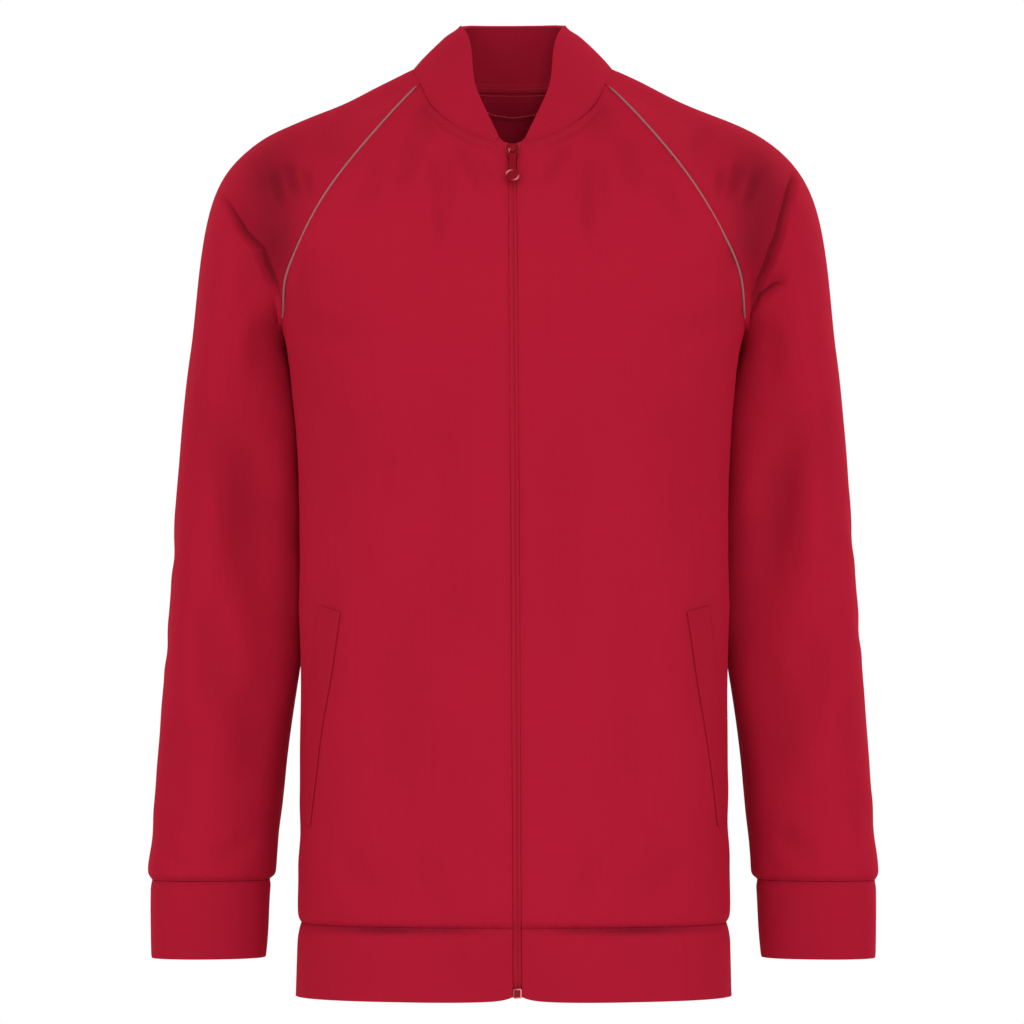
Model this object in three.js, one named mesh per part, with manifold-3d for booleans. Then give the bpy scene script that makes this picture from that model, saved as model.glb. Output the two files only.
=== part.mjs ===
// A men's raglan track jacket, filled out as if worn, with no wearer inside.
// It is cut as a maker cuts it: two fronts, a back, two one-piece raglan sleeves, a crescent collar,
// two cuffs and a waistband in doubled knit, welt pockets, piping on the front raglan seams,
// a facing and a tape inside the back neck, and an open-end zip with a slider and a pull tab.
// Millimetres, +Z up. The front faces -Y, and +X is the wearer's left. The origin lies midway between
// the two side neck points, where the jacket hangs on its wearer's shoulders.
import * as THREE from "three";
import Module from "manifold-3d";

// Cloth
const CLOTH = 2; // wall of the shell knit
const BAND = 3.2; // wall of the doubled knit in the collar, cuffs and waistband
const SEAM = 0.3; // gap left between two pieces where they are sewn
const EASE = 0.2; // how far a cut edge stands back from its seam line

// Heights
const NECK_FRONT = -61; // centre front, at the collar seam
const NECK_BACK = -15; // centre back, at the collar seam
const UNDERARM = -206;
const BODY_END = -663.5; // seam between the body and the waistband
const HEM = -720.5;
const SLEEVE_END = -631.5; // seam between a sleeve and its cuff
const CUFF_END = -692;

// Zip
const ZIP_GAP = 3.6; // half the distance between the two front edges
const CHAIN_HALF = 3; // half the width of the closed chain
const CHAIN_DEEP = 1.5;
const TAPE_DEEP = 0.9;
const TAPE = { edge: 1.6, far: 13 }; // each tape's distances from the middle

// How many cloth faces each form gets
const FRONT_COLUMNS = 9;
const BACK_COLUMNS = 9; // on each side of the centre back
const RAGLAN_ROWS = 10;
const NECK_ARC = 4; // faces across the top of the shoulder, at the neck
const SLEEVE_COLUMNS = 2 * RAGLAN_ROWS + NECK_ARC;

// The trunk's level sections. halfWidth is to the side, front and back are depths from the section's
// middle, which lies at y = middle. round is the section's exponent: 2 is an ellipse.
const TRUNK = [
  { z: -720.5, halfWidth: 169.6, front: 107, back: 127, middle: -11, round: 2.5 },
  { z: -676, halfWidth: 168.4, front: 106, back: 126, middle: -11, round: 2.5 },
  { z: -663.5, halfWidth: 165.8, front: 104, back: 124, middle: -11, round: 2.5 },
  { z: -655.5, halfWidth: 168.4, front: 107, back: 127, middle: -11, round: 2.5 },
  { z: -600, halfWidth: 167, front: 107, back: 124, middle: -12, round: 2.5 },
  { z: -530, halfWidth: 166, front: 105, back: 118, middle: -12, round: 2.5 },
  { z: -440, halfWidth: 166, front: 103, back: 112, middle: -12, round: 2.5 },
  { z: -360, halfWidth: 166, front: 105, back: 115, middle: -12, round: 2.5 },
  { z: -296, halfWidth: 168, front: 109, back: 121, middle: -12, round: 2.5 },
  { z: -250, halfWidth: 171.5, front: 113, back: 126, middle: -12, round: 2.5 },
  { z: -206, halfWidth: 178.2, front: 115, back: 130, middle: -12, round: 2.5 },
  { z: -175, halfWidth: 188.6, front: 111, back: 128, middle: -11, round: 2.45 },
  { z: -150, halfWidth: 203, front: 107, back: 124, middle: -10, round: 2.4 },
  { z: -125, halfWidth: 217, front: 101, back: 118, middle: -9, round: 2.4 },
  { z: -100, halfWidth: 224, front: 92, back: 110, middle: -7, round: 2.35 },
  { z: -82, halfWidth: 221, front: 85, back: 102, middle: -5, round: 2.3 },
  { z: -58.5, halfWidth: 200, front: 72, back: 90, middle: -2, round: 2.3 },
  { z: -40, halfWidth: 165, front: 60, back: 77, middle: 0, round: 2.3 },
  { z: -24, halfWidth: 126, front: 49, back: 67, middle: 2, round: 2.3 },
  { z: -12, halfWidth: 94, front: 40, back: 57, middle: 4, round: 2.3 },
  { z: 0, halfWidth: 84, front: 30, back: 48, middle: 6, round: 2.3 },
];

// The raglan and neck seams as they show from the front or from behind.
const RAGLAN_FRONT = [
  { x: 72, z: -12.5 },
  { x: 85.5, z: -26.5 },
  { x: 106, z: -46 },
  { x: 122.6, z: -72 },
  { x: 141.6, z: -94 },
  { x: 156.2, z: -120 },
  { x: 171.4, z: -152 },
  { x: 178.8, z: -176 },
  { x: 176.8, z: -194 },
];
const RAGLAN_BACK = [
  { x: 56, z: -10 },
  { x: 74, z: -28 },
  { x: 93, z: -50 },
  { x: 112, z: -76 },
  { x: 130, z: -103 },
  { x: 146, z: -130 },
  { x: 156, z: -158 },
  { x: 163, z: -184 },
];
const NECK_SEAM_FRONT = [
  { x: ZIP_GAP, z: NECK_FRONT },
  { x: 14, z: -59.2 },
  { x: 30, z: -53.6 },
  { x: 49.5, z: -42.8 },
  { x: 65, z: -28 },
  { x: 72, z: -12.5 },
];
const NECK_SEAM_BACK = [
  { x: 56, z: -10 },
  { x: 40, z: -13 },
  { x: 20, z: -14.6 },
  { x: 0, z: NECK_BACK },
];
const NECK_TIP = new THREE.Vector3(78, 8, 1.6); // the side neck point

// The side seam: its turn about the section, in degrees from the centre front, at each height.
const SIDE_SEAM = [
  { z: HEM, turn: 101 },
  { z: -440, turn: 102 },
  { z: -250, turn: 108 },
  { z: UNDERARM, turn: 112 },
];
const SIDE_ROWS = [BODY_END, -655.5, -632, -598, -560, -520, -480, -440, -400, -360, -320, -284, -254, -230, -213, UNDERARM];
const FRONT_SHARES = [0, 0.03, 0.14, 0.26, 0.38, 0.5, 0.63, 0.76, 0.88, 1];

// The cloth turns out to meet the sleeve under the arm, like the crown of a small arch.
const CROWN = { out: 2.4, drop: 9, fade: 60 };

// A sleeve's rings, from the raglan seam to the cuff. Each ring runs from its inner end (next to the
// trunk) to its outer end (the outline of the shoulder and arm), bulging front and back between them.
// The first rings fan out from under the arm, so their inner ends lie close together.
const SLEEVE = [
  { inX: 2.6, inY: 1, inZ: -0.7, outX: 103, outZ: -10.8, outY: 9, front: 119, back: 84 },
  { inX: 4.6, inY: 2, inZ: -2.6, outX: 130, outZ: -24.8, outY: 11, front: 112, back: 83 },
  { inX: 5.6, inY: 2, inZ: -5.6, outX: 159, outZ: -36.2, outY: 13, front: 105, back: 81 },
  { inX: 6, inY: 2, inZ: -9, outX: 187, outZ: -48.5, outY: 14, front: 98, back: 79 },
  { inX: 6, inY: 2, inZ: -13, outX: 210, outZ: -64.8, outY: 15, front: 91, back: 77 },
  { inX: 5.6, inY: 2, inZ: -18, outX: 226, outZ: -84, outY: 16, front: 85, back: 75 },
  { inX: 5, inY: 2, inZ: -24, outX: 236, outZ: -106, outY: 17, front: 80, back: 73 },
  { inX: 2.4, inY: 3, inZ: -31, outX: 242, outZ: -131, outY: 17, front: 76, back: 71 },
  { inX: 0, inY: 3, inZ: -40, outX: 246, outZ: -158, outY: 17, front: 73, back: 69 },
  { inX: -2.6, inY: 4, inZ: -51, outX: 249, outZ: -187, outY: 17, front: 71, back: 67 },
  { inX: -5.2, inY: 4, inZ: -64, outX: 252, outZ: -216, outY: 17, front: 69, back: 65 },
  { inX: -7.6, inY: 5, inZ: -80, outX: 256, outZ: -247, outY: 16, front: 67, back: 63 },
];
const ARM = [
  { z: -306, inX: 163.5, inY: 50, outX: 261, outY: 16, front: 65, back: 61 },
  { z: -340, inX: 162.5, inY: 50, outX: 263.4, outY: 15, front: 64, back: 59 },
  { z: -374, inX: 162.4, inY: 49, outX: 265.5, outY: 14, front: 62, back: 57 },
  { z: -408, inX: 162.6, inY: 47, outX: 268, outY: 13, front: 60, back: 56 },
  { z: -442, inX: 164, inY: 43, outX: 270.6, outY: 11, front: 58, back: 55 },
  { z: -476, inX: 168.6, inY: 36, outX: 273.2, outY: 9, front: 56, back: 53 },
  { z: -508, inX: 173.4, inY: 29, outX: 276, outY: 6, front: 54, back: 50 },
  { z: -540, inX: 177.6, inY: 23, outX: 278.2, outY: 3, front: 52, back: 48 },
  { z: -572, inX: 180.6, inY: 18, outX: 280.2, outY: 0, front: 49, back: 45 },
  { z: -600, inX: 183.6, inY: 14, outX: 281.8, outY: -2, front: 46, back: 42 },
  { z: -619, inX: 185.2, inY: 11, outX: 283.8, outY: -4, front: 44, back: 40 },
  { z: -627, inX: 186, inY: 10, outX: 284, outY: -4, front: 43, back: 39 },
  { z: SLEEVE_END, inX: 189.2, inY: 9, outX: 282.2, outY: -4, front: 40, back: 36 },
];
const CUFF = [
  { z: SLEEVE_END, inX: 189.2, inY: 9, outX: 282.2, outY: -4, front: 40, back: 36 },
  { z: -636, inX: 189.4, inY: 9, outX: 282.4, outY: -4, front: 40, back: 36 },
  { z: -652, inX: 190.4, inY: 8, outX: 282.8, outY: -5, front: 39, back: 35 },
  { z: -670, inX: 191.2, inY: 7, outX: 282.8, outY: -6, front: 38, back: 34 },
  { z: -687, inX: 192.6, inY: 6, outX: 282.6, outY: -7, front: 37, back: 33 },
  { z: CUFF_END, inX: 193.6, inY: 6, outX: 282, outY: -7, front: 36.5, back: 32.5 },
];
const SLEEVE_ROUND = 0.9; // exponent of a sleeve ring's sine and cosine
const RAGLAN_BLEND = 6; // rings over which the raglan seam's own shape fades into the rings' ovals

// The collar's top edge from its front end to the centre back, each row at a share of the neck seam.
const COLLAR_TOP = [
  { share: 0, x: 9.5, y: -71, z: -57.5 },
  { share: 0.1, x: 14.5, y: -66, z: -46.5 },
  { share: 0.2, x: 21, y: -57, z: -31 },
  { share: 0.3, x: 26.5, y: -46.5, z: -14.5 },
  { share: 0.4, x: 30.5, y: -32, z: 4 },
  { share: 0.47, x: 33, y: -19, z: 18 },
  { share: 0.53, x: 36, y: -5, z: 29.5 },
  { share: 0.59, x: 40.5, y: 10, z: 36 },
  { share: 0.68, x: 42, y: 26, z: 37.6 },
  { share: 0.79, x: 34, y: 40, z: 37.8 },
  { share: 0.9, x: 19, y: 48, z: 37.8 },
  { share: 1, x: 0, y: 50.5, z: 37.8 },
];
const COLLAR_BULGE = 3; // how far the collar rounds out between its seam and its top edge
const COLLAR_SHARES = [0, 0.15, 0.4, 0.68, 0.94, 1];

// Small pieces
const LYING = 0.3; // how far a piece that lies on another stands off it
const WELT = { long: 169, wide: 24, deep: 1.8, corner: 2, face: 58 };
const WELT_LINE = { topX: 132, topZ: -420.5, endX: 149.5, endZ: -588.5 }; // its inner edge, from the front
const PIPING = { radius: 0.95, sides: 6 };
const FACING = { deep: 1, centreZ: 25, halfWidth: 62, drop: 61 }; // a half moon inside the back neck
const NECK_TAPE = { deep: 0.9, from: 0.1, to: 0.95 };
const SLIDER = { z: -68, wide: 11.6, foot: 8.4, long: 12.6, rise: 0.6, deep: 1.7, back: 3.5, stem: 2.4 };
const BRIDGE = { wide: 3, reach: 3.2, rise: 3.6, room: 1.9, head: 2.8 };
const PULL = { out: 4.1, bar: 0.6, leg: 1.2, eye: 6.2, drop: 4, neck: 5, ringDrop: 25.6, ring: 5.7, deep: 1.2, tilt: 3 };
const BOX = { z: -713.2, wide: 6.4, tall: 7.4, near: 0.4, far: 3.2 };

// Where the zip leans: a shift to the wearer's left, growing towards the hem.
const LEAN = [
  { z: HEM, shift: 3 },
  { z: -400, shift: 1.4 },
  { z: -59, shift: -1 },
];
const LEAN_REACH = 100; // how far the lean spreads from the zip

// The largest folds, as troughs (depth > 0) and ridges (depth < 0) seen from the front or from behind.
// Each runs from its first point to its second.
const FOLDS = [
  { face: "front", x0: -226, z0: -240, x1: -199, z1: -425, wide: 15, depth: 4.5 },
  { face: "front", x0: -246, z0: -300, x1: -232, z1: -470, wide: 13, depth: 2.5 },
  { face: "front", x0: -222, z0: -100, x1: -196, z1: -185, wide: 13, depth: 5 },
  { face: "front", x0: -232, z0: -520, x1: -262, z1: -585, wide: 14, depth: 2.5 },
  { face: "front", x0: 226, z0: -235, x1: 203, z1: -400, wide: 15, depth: 4 },
  { face: "front", x0: 249, z0: -330, x1: 236, z1: -500, wide: 13, depth: 3 },
  { face: "front", x0: 214, z0: -95, x1: 190, z1: -185, wide: 13, depth: 5.5 },
  { face: "front", x0: 226, z0: -560, x1: 262, z1: -540, wide: 13, depth: 2 },
  { face: "front", x0: -66, z0: -70, x1: -58, z1: -160, wide: 13, depth: 2.5 },
  { face: "front", x0: 62, z0: -68, x1: 66, z1: -150, wide: 13, depth: 2.5 },
  { face: "front", x0: -84, z0: -250, x1: -98, z1: -560, wide: 26, depth: 3 },
  { face: "front", x0: 72, z0: -300, x1: 88, z1: -600, wide: 26, depth: 3 },
  { face: "front", x0: -36, z0: -330, x1: -44, z1: -640, wide: 22, depth: -2 },
  { face: "back", x0: -214, z0: -90, x1: -186, z1: -180, wide: 15, depth: 5 },
  { face: "back", x0: 212, z0: -86, x1: 188, z1: -176, wide: 15, depth: 5 },
  { face: "back", x0: -206, z0: -330, x1: -252, z1: -372, wide: 15, depth: 3.5 },
  { face: "back", x0: 204, z0: -345, x1: 250, z1: -380, wide: 15, depth: 3.5 },
  { face: "back", x0: -120, z0: -470, x1: 20, z1: -500, wide: 24, depth: 3.5 },
  { face: "back", x0: 112, z0: -520, x1: -40, z1: -556, wide: 24, depth: 3 },
  { face: "back", x0: -30, z0: -120, x1: -52, z1: -330, wide: 26, depth: 3 },
  { face: "back", x0: 44, z0: -150, x1: 62, z1: -380, wide: 26, depth: 3 },
];
const FOLD_MIDDLE = 4; // the y between front and back faces, where no fold reaches
const FOLD_BLEND = 34;

const wasm = await Module();
wasm.setup();

// Numbers and tables

/** A smooth curve through a table's rows: the value of one column where the key column is at. */
function column(rows, key, name, at) {
  const order = rows[0][key] < rows[rows.length - 1][key] ? rows : [...rows].reverse();
  const last = order.length - 1;
  let i = 0;
  while (i < last - 1 && at > order[i + 1][key]) i++;
  const slope = (a, b) => (order[b][name] - order[a][name]) / (order[b][key] - order[a][key]);
  const tangent = (k) => {
    if (k === 0) return slope(0, 1);
    if (k === last) return slope(last - 1, last);
    const before = slope(k - 1, k);
    const after = slope(k, k + 1);
    return before * after <= 0 ? 0 : (2 * before * after) / (before + after);
  };
  const span = order[i + 1][key] - order[i][key];
  const t = THREE.MathUtils.clamp((at - order[i][key]) / span, 0, 1);
  const t2 = t * t;
  const t3 = t2 * t;
  return (
    (2 * t3 - 3 * t2 + 1) * order[i][name] +
    (t3 - 2 * t2 + t) * span * tangent(i) +
    (3 * t2 - 2 * t3) * order[i + 1][name] +
    (t3 - t2) * span * tangent(i + 1)
  );
}

/** Points evenly spaced along a smooth plane curve through a table of x and z. */
function alongSeam(rows, count) {
  const curve = new THREE.CatmullRomCurve3(rows.map((r) => new THREE.Vector3(r.x, 0, r.z)), false, "centripetal");
  return curve.getSpacedPoints(count).map((p) => ({ x: p.x, z: p.z }));
}

const signedPower = (value, exponent) => Math.sign(value) * Math.abs(value) ** exponent;
const degrees = THREE.MathUtils.degToRad;
const clampShare = (value) => THREE.MathUtils.clamp(value, 0, 1);
const easeInOut = (value) => clampShare(value) ** 2 * (3 - 2 * clampShare(value));

// The trunk's surface

/** The trunk's section at a height. */
function section(z) {
  const names = ["halfWidth", "front", "back", "middle", "round"];
  return Object.fromEntries(names.map((name) => [name, column(TRUNK, "z", name, z)]));
}

/** A point of the trunk at a turn from the centre front, in radians, and a height. */
function trunkPoint(turn, z, out = 0) {
  const s = section(z);
  const power = 2 / s.round;
  const depth = Math.cos(turn) > 0 ? s.front : s.back;
  const x = s.halfWidth * signedPower(Math.sin(turn), power);
  const y = s.middle - depth * signedPower(Math.cos(turn), power);
  const normal = new THREE.Vector2(x / s.halfWidth ** 2, (y - s.middle) / depth ** 2).normalize();
  return new THREE.Vector3(x + normal.x * out, y + normal.y * out, z);
}

/** The turn at which the trunk's front, or its back, reaches a distance x from the middle. */
function turnAt(x, z, behind = false) {
  const s = section(z);
  const sine = Math.min(1, (x / s.halfWidth) ** (s.round / 2));
  return behind ? Math.PI - Math.asin(sine) : Math.asin(sine);
}

/** How far the cloth turns out near the underarm point, to meet the sleeve. */
function crownOut(turn, z) {
  const seamTurn = degrees(SIDE_SEAM[SIDE_SEAM.length - 1].turn);
  const rise = Math.max(0, z - UNDERARM);
  const drop = Math.max(0, UNDERARM - z);
  const near = easeInOut(1 - Math.abs(turn - seamTurn) / 0.9);
  return CROWN.out * near * easeInOut(1 - rise / CROWN.fade) * (1 - clampShare(drop / CROWN.drop)) ** 2;
}

const sideSeam = SIDE_ROWS.map((z) => ({ turn: degrees(column(SIDE_SEAM, "z", "turn", z)), z }));
const underarm = sideSeam[sideSeam.length - 1];

/** A raglan seam as turns and heights, from the underarm point up to the neck. */
function raglanSeam(rows, behind) {
  const turned = rows.map((r) => new THREE.Vector3(turnAt(r.x, r.z, behind), 0, r.z)).reverse();
  const scale = 150; // millimetres of cloth for each radian, so that the spacing is even
  const path = [new THREE.Vector3(underarm.turn, 0, underarm.z), ...turned].map(
    (p) => new THREE.Vector3(p.x * scale, 0, p.z),
  );
  const curve = new THREE.CatmullRomCurve3(path, false, "centripetal");
  return curve.getSpacedPoints(RAGLAN_ROWS).map((p) => ({ turn: p.x / scale, z: p.z }));
}

/** A panel's points, as rows from the hem up, between two edges and under a top seam. */
function panelPoints(near, far, top, shares) {
  const last = near.length - 1;
  return near.map((n, i) =>
    shares.map((share, j) => {
      const mix = (key) => n[key] * (1 - share) + far[i][key] * share;
      const straight = (key) => top[0][key] * (1 - share) + top[top.length - 1][key] * share;
      const pull = (i / last) ** 4;
      const turn = mix("turn") + pull * (top[j].turn - straight("turn"));
      const z = mix("z") + pull * (top[j].z - straight("z"));
      return trunkPoint(turn, z, crownOut(turn, z));
    }),
  );
}

/** Heights of a panel's rows on its centre line: the seam's two lowest rows, then even steps to the neck. */
function centreHeights(neck) {
  const even = sideSeam.length + RAGLAN_ROWS - 3;
  const from = SIDE_ROWS[2];
  return [SIDE_ROWS[0], SIDE_ROWS[1], ...Array.from({ length: even + 1 }, (_, k) => from + ((neck - from) * k) / even)];
}

const mirrored = (grid) => grid.map((row) => row.map((p) => new THREE.Vector3(-p.x, p.y, p.z)));

function frontPoints() {
  const heights = centreHeights(NECK_FRONT);
  const near = heights.map((z) => ({ turn: turnAt(ZIP_GAP, z), z }));
  const far = [...sideSeam, ...raglanSeam(RAGLAN_FRONT, false).slice(1)];
  const neck = alongSeam(NECK_SEAM_FRONT, FRONT_COLUMNS);
  const top = neck.map((p) => ({ turn: turnAt(p.x, p.z), z: p.z }));
  return panelPoints(near, far, top, FRONT_SHARES);
}

function backPoints() {
  const heights = centreHeights(NECK_BACK);
  const near = [...sideSeam, ...raglanSeam(RAGLAN_BACK, true).slice(1)];
  const far = heights.map((z) => ({ turn: Math.PI, z }));
  const neck = alongSeam(NECK_SEAM_BACK, BACK_COLUMNS);
  const top = neck.map((p) => ({ turn: turnAt(p.x, p.z, true), z: p.z }));
  const shares = Array.from({ length: BACK_COLUMNS + 1 }, (_, k) => k / BACK_COLUMNS);
  const half = panelPoints(near, far, top, shares);
  const other = mirrored(half);
  return half.map((row, i) => [...row, ...[...other[i]].reverse().slice(1)]);
}

// How the cloth settles

/** How strongly a fold acts at a point of the front or back view: 1 on its line, fading to its ends. */
function foldShare(fold, x, z) {
  const length = Math.hypot(fold.x1 - fold.x0, fold.z1 - fold.z0);
  const ux = (fold.x1 - fold.x0) / length;
  const uz = (fold.z1 - fold.z0) / length;
  const along = (x - fold.x0) * ux + (z - fold.z0) * uz;
  const across = (x - fold.x0) * uz - (z - fold.z0) * ux;
  const beyond = Math.max(0, Math.abs(along - length / 2) - length / 4) / (length / 3);
  return Math.exp(-((across / fold.wide) ** 2)) * easeInOut(1 - beyond);
}

/** Moves a point of the smooth shell to where the cloth settles: the folds, and the leaning zip. */
function settle(p) {
  const q = p.clone();
  for (const fold of FOLDS) {
    const facing = fold.face === "front" ? 1 : -1;
    const open = easeInOut((facing * (FOLD_MIDDLE - p.y)) / FOLD_BLEND);
    q.y += facing * fold.depth * foldShare(fold, p.x, p.z) * open;
  }
  q.x += column(LEAN, "z", "shift", p.z) * Math.exp(-((p.x / LEAN_REACH) ** 2));
  return q;
}

const settled = (grid) => grid.map((row) => row.map(settle));

// A sleeve's rings

/** One oval ring, from its inner end forward, over its outer end and back behind. */
function oval(inner, outer, front, back) {
  return Array.from({ length: SLEEVE_COLUMNS }, (_, j) => {
    const turn = (2 * Math.PI * j) / SLEEVE_COLUMNS;
    const along = (1 - signedPower(Math.cos(turn), SLEEVE_ROUND)) / 2;
    const bulge = signedPower(Math.sin(turn), SLEEVE_ROUND);
    const p = inner.clone().lerp(outer, along);
    p.y -= bulge * (bulge > 0 ? front : back);
    return p;
  });
}

const ringAt = (r) => oval(new THREE.Vector3(r.inX, r.inY, r.z), new THREE.Vector3(r.outX, r.outY, r.z), r.front, r.back);

/** The sleeve's first ring: up the front raglan seam, across the neck and down the back raglan seam. */
function raglanRing(front, back) {
  const first = sideSeam.length - 1;
  const up = front.slice(first).map((row) => row[row.length - 1].clone());
  const down = back.slice(first).map((row) => row[0].clone()).reverse();
  const start = up[up.length - 1];
  const end = down[0];
  const over = new THREE.CatmullRomCurve3([start, NECK_TIP, end]).getSpacedPoints(NECK_ARC);
  return [...up, ...over.slice(1, -1), ...down.slice(0, -1)];
}

function sleevePoints(front, back) {
  const first = raglanRing(front, back);
  const crown = first[0];
  const firstOval = oval(crown, NECK_TIP, 124, 84);
  const fan = SLEEVE.map((r, k) => {
    const inner = new THREE.Vector3(crown.x + r.inX, crown.y + r.inY, crown.z + r.inZ);
    const ring = oval(inner, new THREE.Vector3(r.outX, r.outY, r.outZ), r.front, r.back);
    const keep = 1 - easeInOut((k + 1) / RAGLAN_BLEND);
    return ring.map((p, j) => p.addScaledVector(first[j].clone().sub(firstOval[j]), keep));
  });
  return [first, ...fan, ...ARM.map(ringAt)];
}

// Pieces of cloth

const pieces = []; // every cloth wall, before its seams are matched
const seamNormals = new Map();
const seamSides = new Map();
const seamFolds = new Map();
const seamKey = (p) => [p.x, p.y, p.z].map((v) => Math.round(v * 50)).join(" ");

/** Adds a cloth wall: rows of outer points, closed round its columns or not, and facing out. */
function addCloth(name, points, { wall = CLOTH, closed = false, turned = false } = {}) {
  const rows = points.length;
  const columns = points[0].length;
  const at = (i, j) => {
    const row = points[THREE.MathUtils.clamp(i, 0, rows - 1)];
    return closed ? row[(j + columns) % columns] : row[THREE.MathUtils.clamp(j, 0, columns - 1)];
  };
  const normals = points.map((row, i) =>
    row.map((_, j) => {
      const across = at(i, j + 1).clone().sub(at(i, j - 1));
      const along = at(i + 1, j).clone().sub(at(i - 1, j));
      return across.cross(along).multiplyScalar(turned ? -1 : 1).normalize();
    }),
  );
  const edge = (i, j) => i === 0 || i === rows - 1 || (!closed && (j === 0 || j === columns - 1));
  points.forEach((row, i) =>
    row.forEach((p, j) => {
      if (!edge(i, j)) return;
      const key = seamKey(p);
      const sum = seamNormals.get(key) ?? new THREE.Vector3();
      seamNormals.set(key, sum.add(normals[i][j]));
      const sides = [...(seamSides.get(key) ?? []), normals[i][j]];
      seamSides.set(key, sides);
      seamFolds.set(key, Math.max(...sides.map((n) => n.angleTo(sides[0]))));
    }),
  );
  pieces.push({ name, points, wall, closed, turned, normals, at, edge });
}

/** A closed body from two layers of rows: the outer one, and the inner one behind it. */
function wallBody(outer, inner, closed, turned) {
  const rows = outer.length;
  const columns = outer[0].length;
  const index = [];
  const vertex = (layer, i, j) => layer * rows * columns + i * columns + (j % columns);
  const flat = [...outer.flat(), ...inner.flat()];
  const quad = (...corners) => {
    const [a, b, c, d] = turned ? corners.reverse() : corners;
    const shorter = flat[a].distanceTo(flat[c]) <= flat[b].distanceTo(flat[d]);
    index.push(...(shorter ? [a, b, c, a, c, d] : [b, c, d, b, d, a]));
  };
  const last = closed ? columns : columns - 1;
  for (let i = 0; i < rows - 1; i++)
    for (let j = 0; j < last; j++) {
      quad(vertex(0, i, j), vertex(0, i, j + 1), vertex(0, i + 1, j + 1), vertex(0, i + 1, j));
      quad(vertex(1, i, j), vertex(1, i + 1, j), vertex(1, i + 1, j + 1), vertex(1, i, j + 1));
    }
  for (let j = 0; j < last; j++) {
    quad(vertex(0, 0, j), vertex(1, 0, j), vertex(1, 0, j + 1), vertex(0, 0, j + 1));
    quad(vertex(0, rows - 1, j), vertex(0, rows - 1, j + 1), vertex(1, rows - 1, j + 1), vertex(1, rows - 1, j));
  }
  for (let i = 0; i < rows - 1 && !closed; i++) {
    quad(vertex(0, i, 0), vertex(0, i + 1, 0), vertex(1, i + 1, 0), vertex(1, i, 0));
    quad(vertex(0, i, last), vertex(1, i, last), vertex(1, i + 1, last), vertex(0, i + 1, last));
  }
  const positions = flat.flatMap((p) => [p.x, p.y, p.z]);
  const geometry = new THREE.BufferGeometry();
  geometry.setAttribute("position", new THREE.Float32BufferAttribute(positions, 3));
  geometry.setIndex(index);
  return geometry;
}

/** The two layers of a cloth wall: edges share their seam's direction and stand back from it. */
function layers(piece) {
  const { points, normals, wall, closed, at, edge } = piece;
  const rows = points.length;
  const columns = points[0].length;
  const outer = points.map((row, i) =>
    row.map((p, j) => {
      const moved = p.clone();
      const draw = (q) => moved.add(q.clone().sub(p).setLength(EASE));
      if (i === 0) draw(at(1, j));
      if (i === rows - 1) draw(at(rows - 2, j));
      if (!closed && j === 0) draw(at(i, 1));
      if (!closed && j === columns - 1) draw(at(i, columns - 2));
      return moved;
    }),
  );
  const inner = outer.map((row, i) =>
    row.map((p, j) => {
      const shared = edge(i, j) ? seamNormals.get(seamKey(points[i][j])).clone().normalize() : normals[i][j];
      piece.normals[i][j] = shared;
      return p.clone().addScaledVector(shared, -wall);
    }),
  );
  return { outer, inner };
}

// Materials

const red = 0xa81b31;
const cloth = new THREE.MeshStandardMaterial({ color: red, roughness: 0.75, metalness: 0 });
const knit = new THREE.MeshStandardMaterial({ color: 0xa31b31, roughness: 0.8, metalness: 0 });
const pipingGrey = new THREE.MeshStandardMaterial({ color: 0x9a8580, roughness: 0.45, metalness: 0 });
const zipTape = new THREE.MeshStandardMaterial({ color: 0x961a2c, roughness: 0.8, metalness: 0 });
const zipMetal = new THREE.MeshStandardMaterial({ color: 0x8f1626, roughness: 0.3, metalness: 0.2 });

const jacket = new THREE.Group();

function addMesh(name, geometry, material) {
  const mesh = new THREE.Mesh(geometry, material);
  mesh.name = name;
  jacket.add(mesh);
  return mesh;
}

// The shell

const front = frontPoints();
const back = backPoints();
const sleeve = sleevePoints(front, back);
const cuff = CUFF.map(ringAt);

/** The neck seam from the right front edge round the back to the left front edge. */
function neckLoop() {
  const ring = sleeve[0].slice(RAGLAN_ROWS, RAGLAN_ROWS + NECK_ARC + 1);
  const half = [...front[front.length - 1], ...ring.slice(1, -1), ...back[back.length - 1].slice(0, BACK_COLUMNS + 1)];
  const other = half.map((p) => new THREE.Vector3(-p.x, p.y, p.z)).reverse();
  return [...half, ...other.slice(1)];
}

function collarPoints() {
  const seam = neckLoop();
  const middle = (seam.length - 1) / 2;
  const lengths = seam.map((p, k) => (k ? p.distanceTo(seam[k - 1]) : 0));
  const run = lengths.map((_, k) => lengths.slice(0, k + 1).reduce((a, b) => a + b, 0));
  return COLLAR_SHARES.map((rise) =>
    seam.map((p, k) => {
      const share = Math.min(run[k], run[run.length - 1] - run[k]) / run[middle];
      const side = k <= middle ? 1 : -1;
      const top = new THREE.Vector3(
        side * column(COLLAR_TOP, "share", "x", share),
        column(COLLAR_TOP, "share", "y", share),
        column(COLLAR_TOP, "share", "z", share),
      );
      const point = p.clone().lerp(top, rise);
      const away = new THREE.Vector3(p.x, p.y, 0).normalize();
      const bulge = COLLAR_BULGE * Math.sin(Math.PI * rise) * Math.min(1, share * 4);
      return point.addScaledVector(away, bulge);
    }),
  );
}

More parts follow.
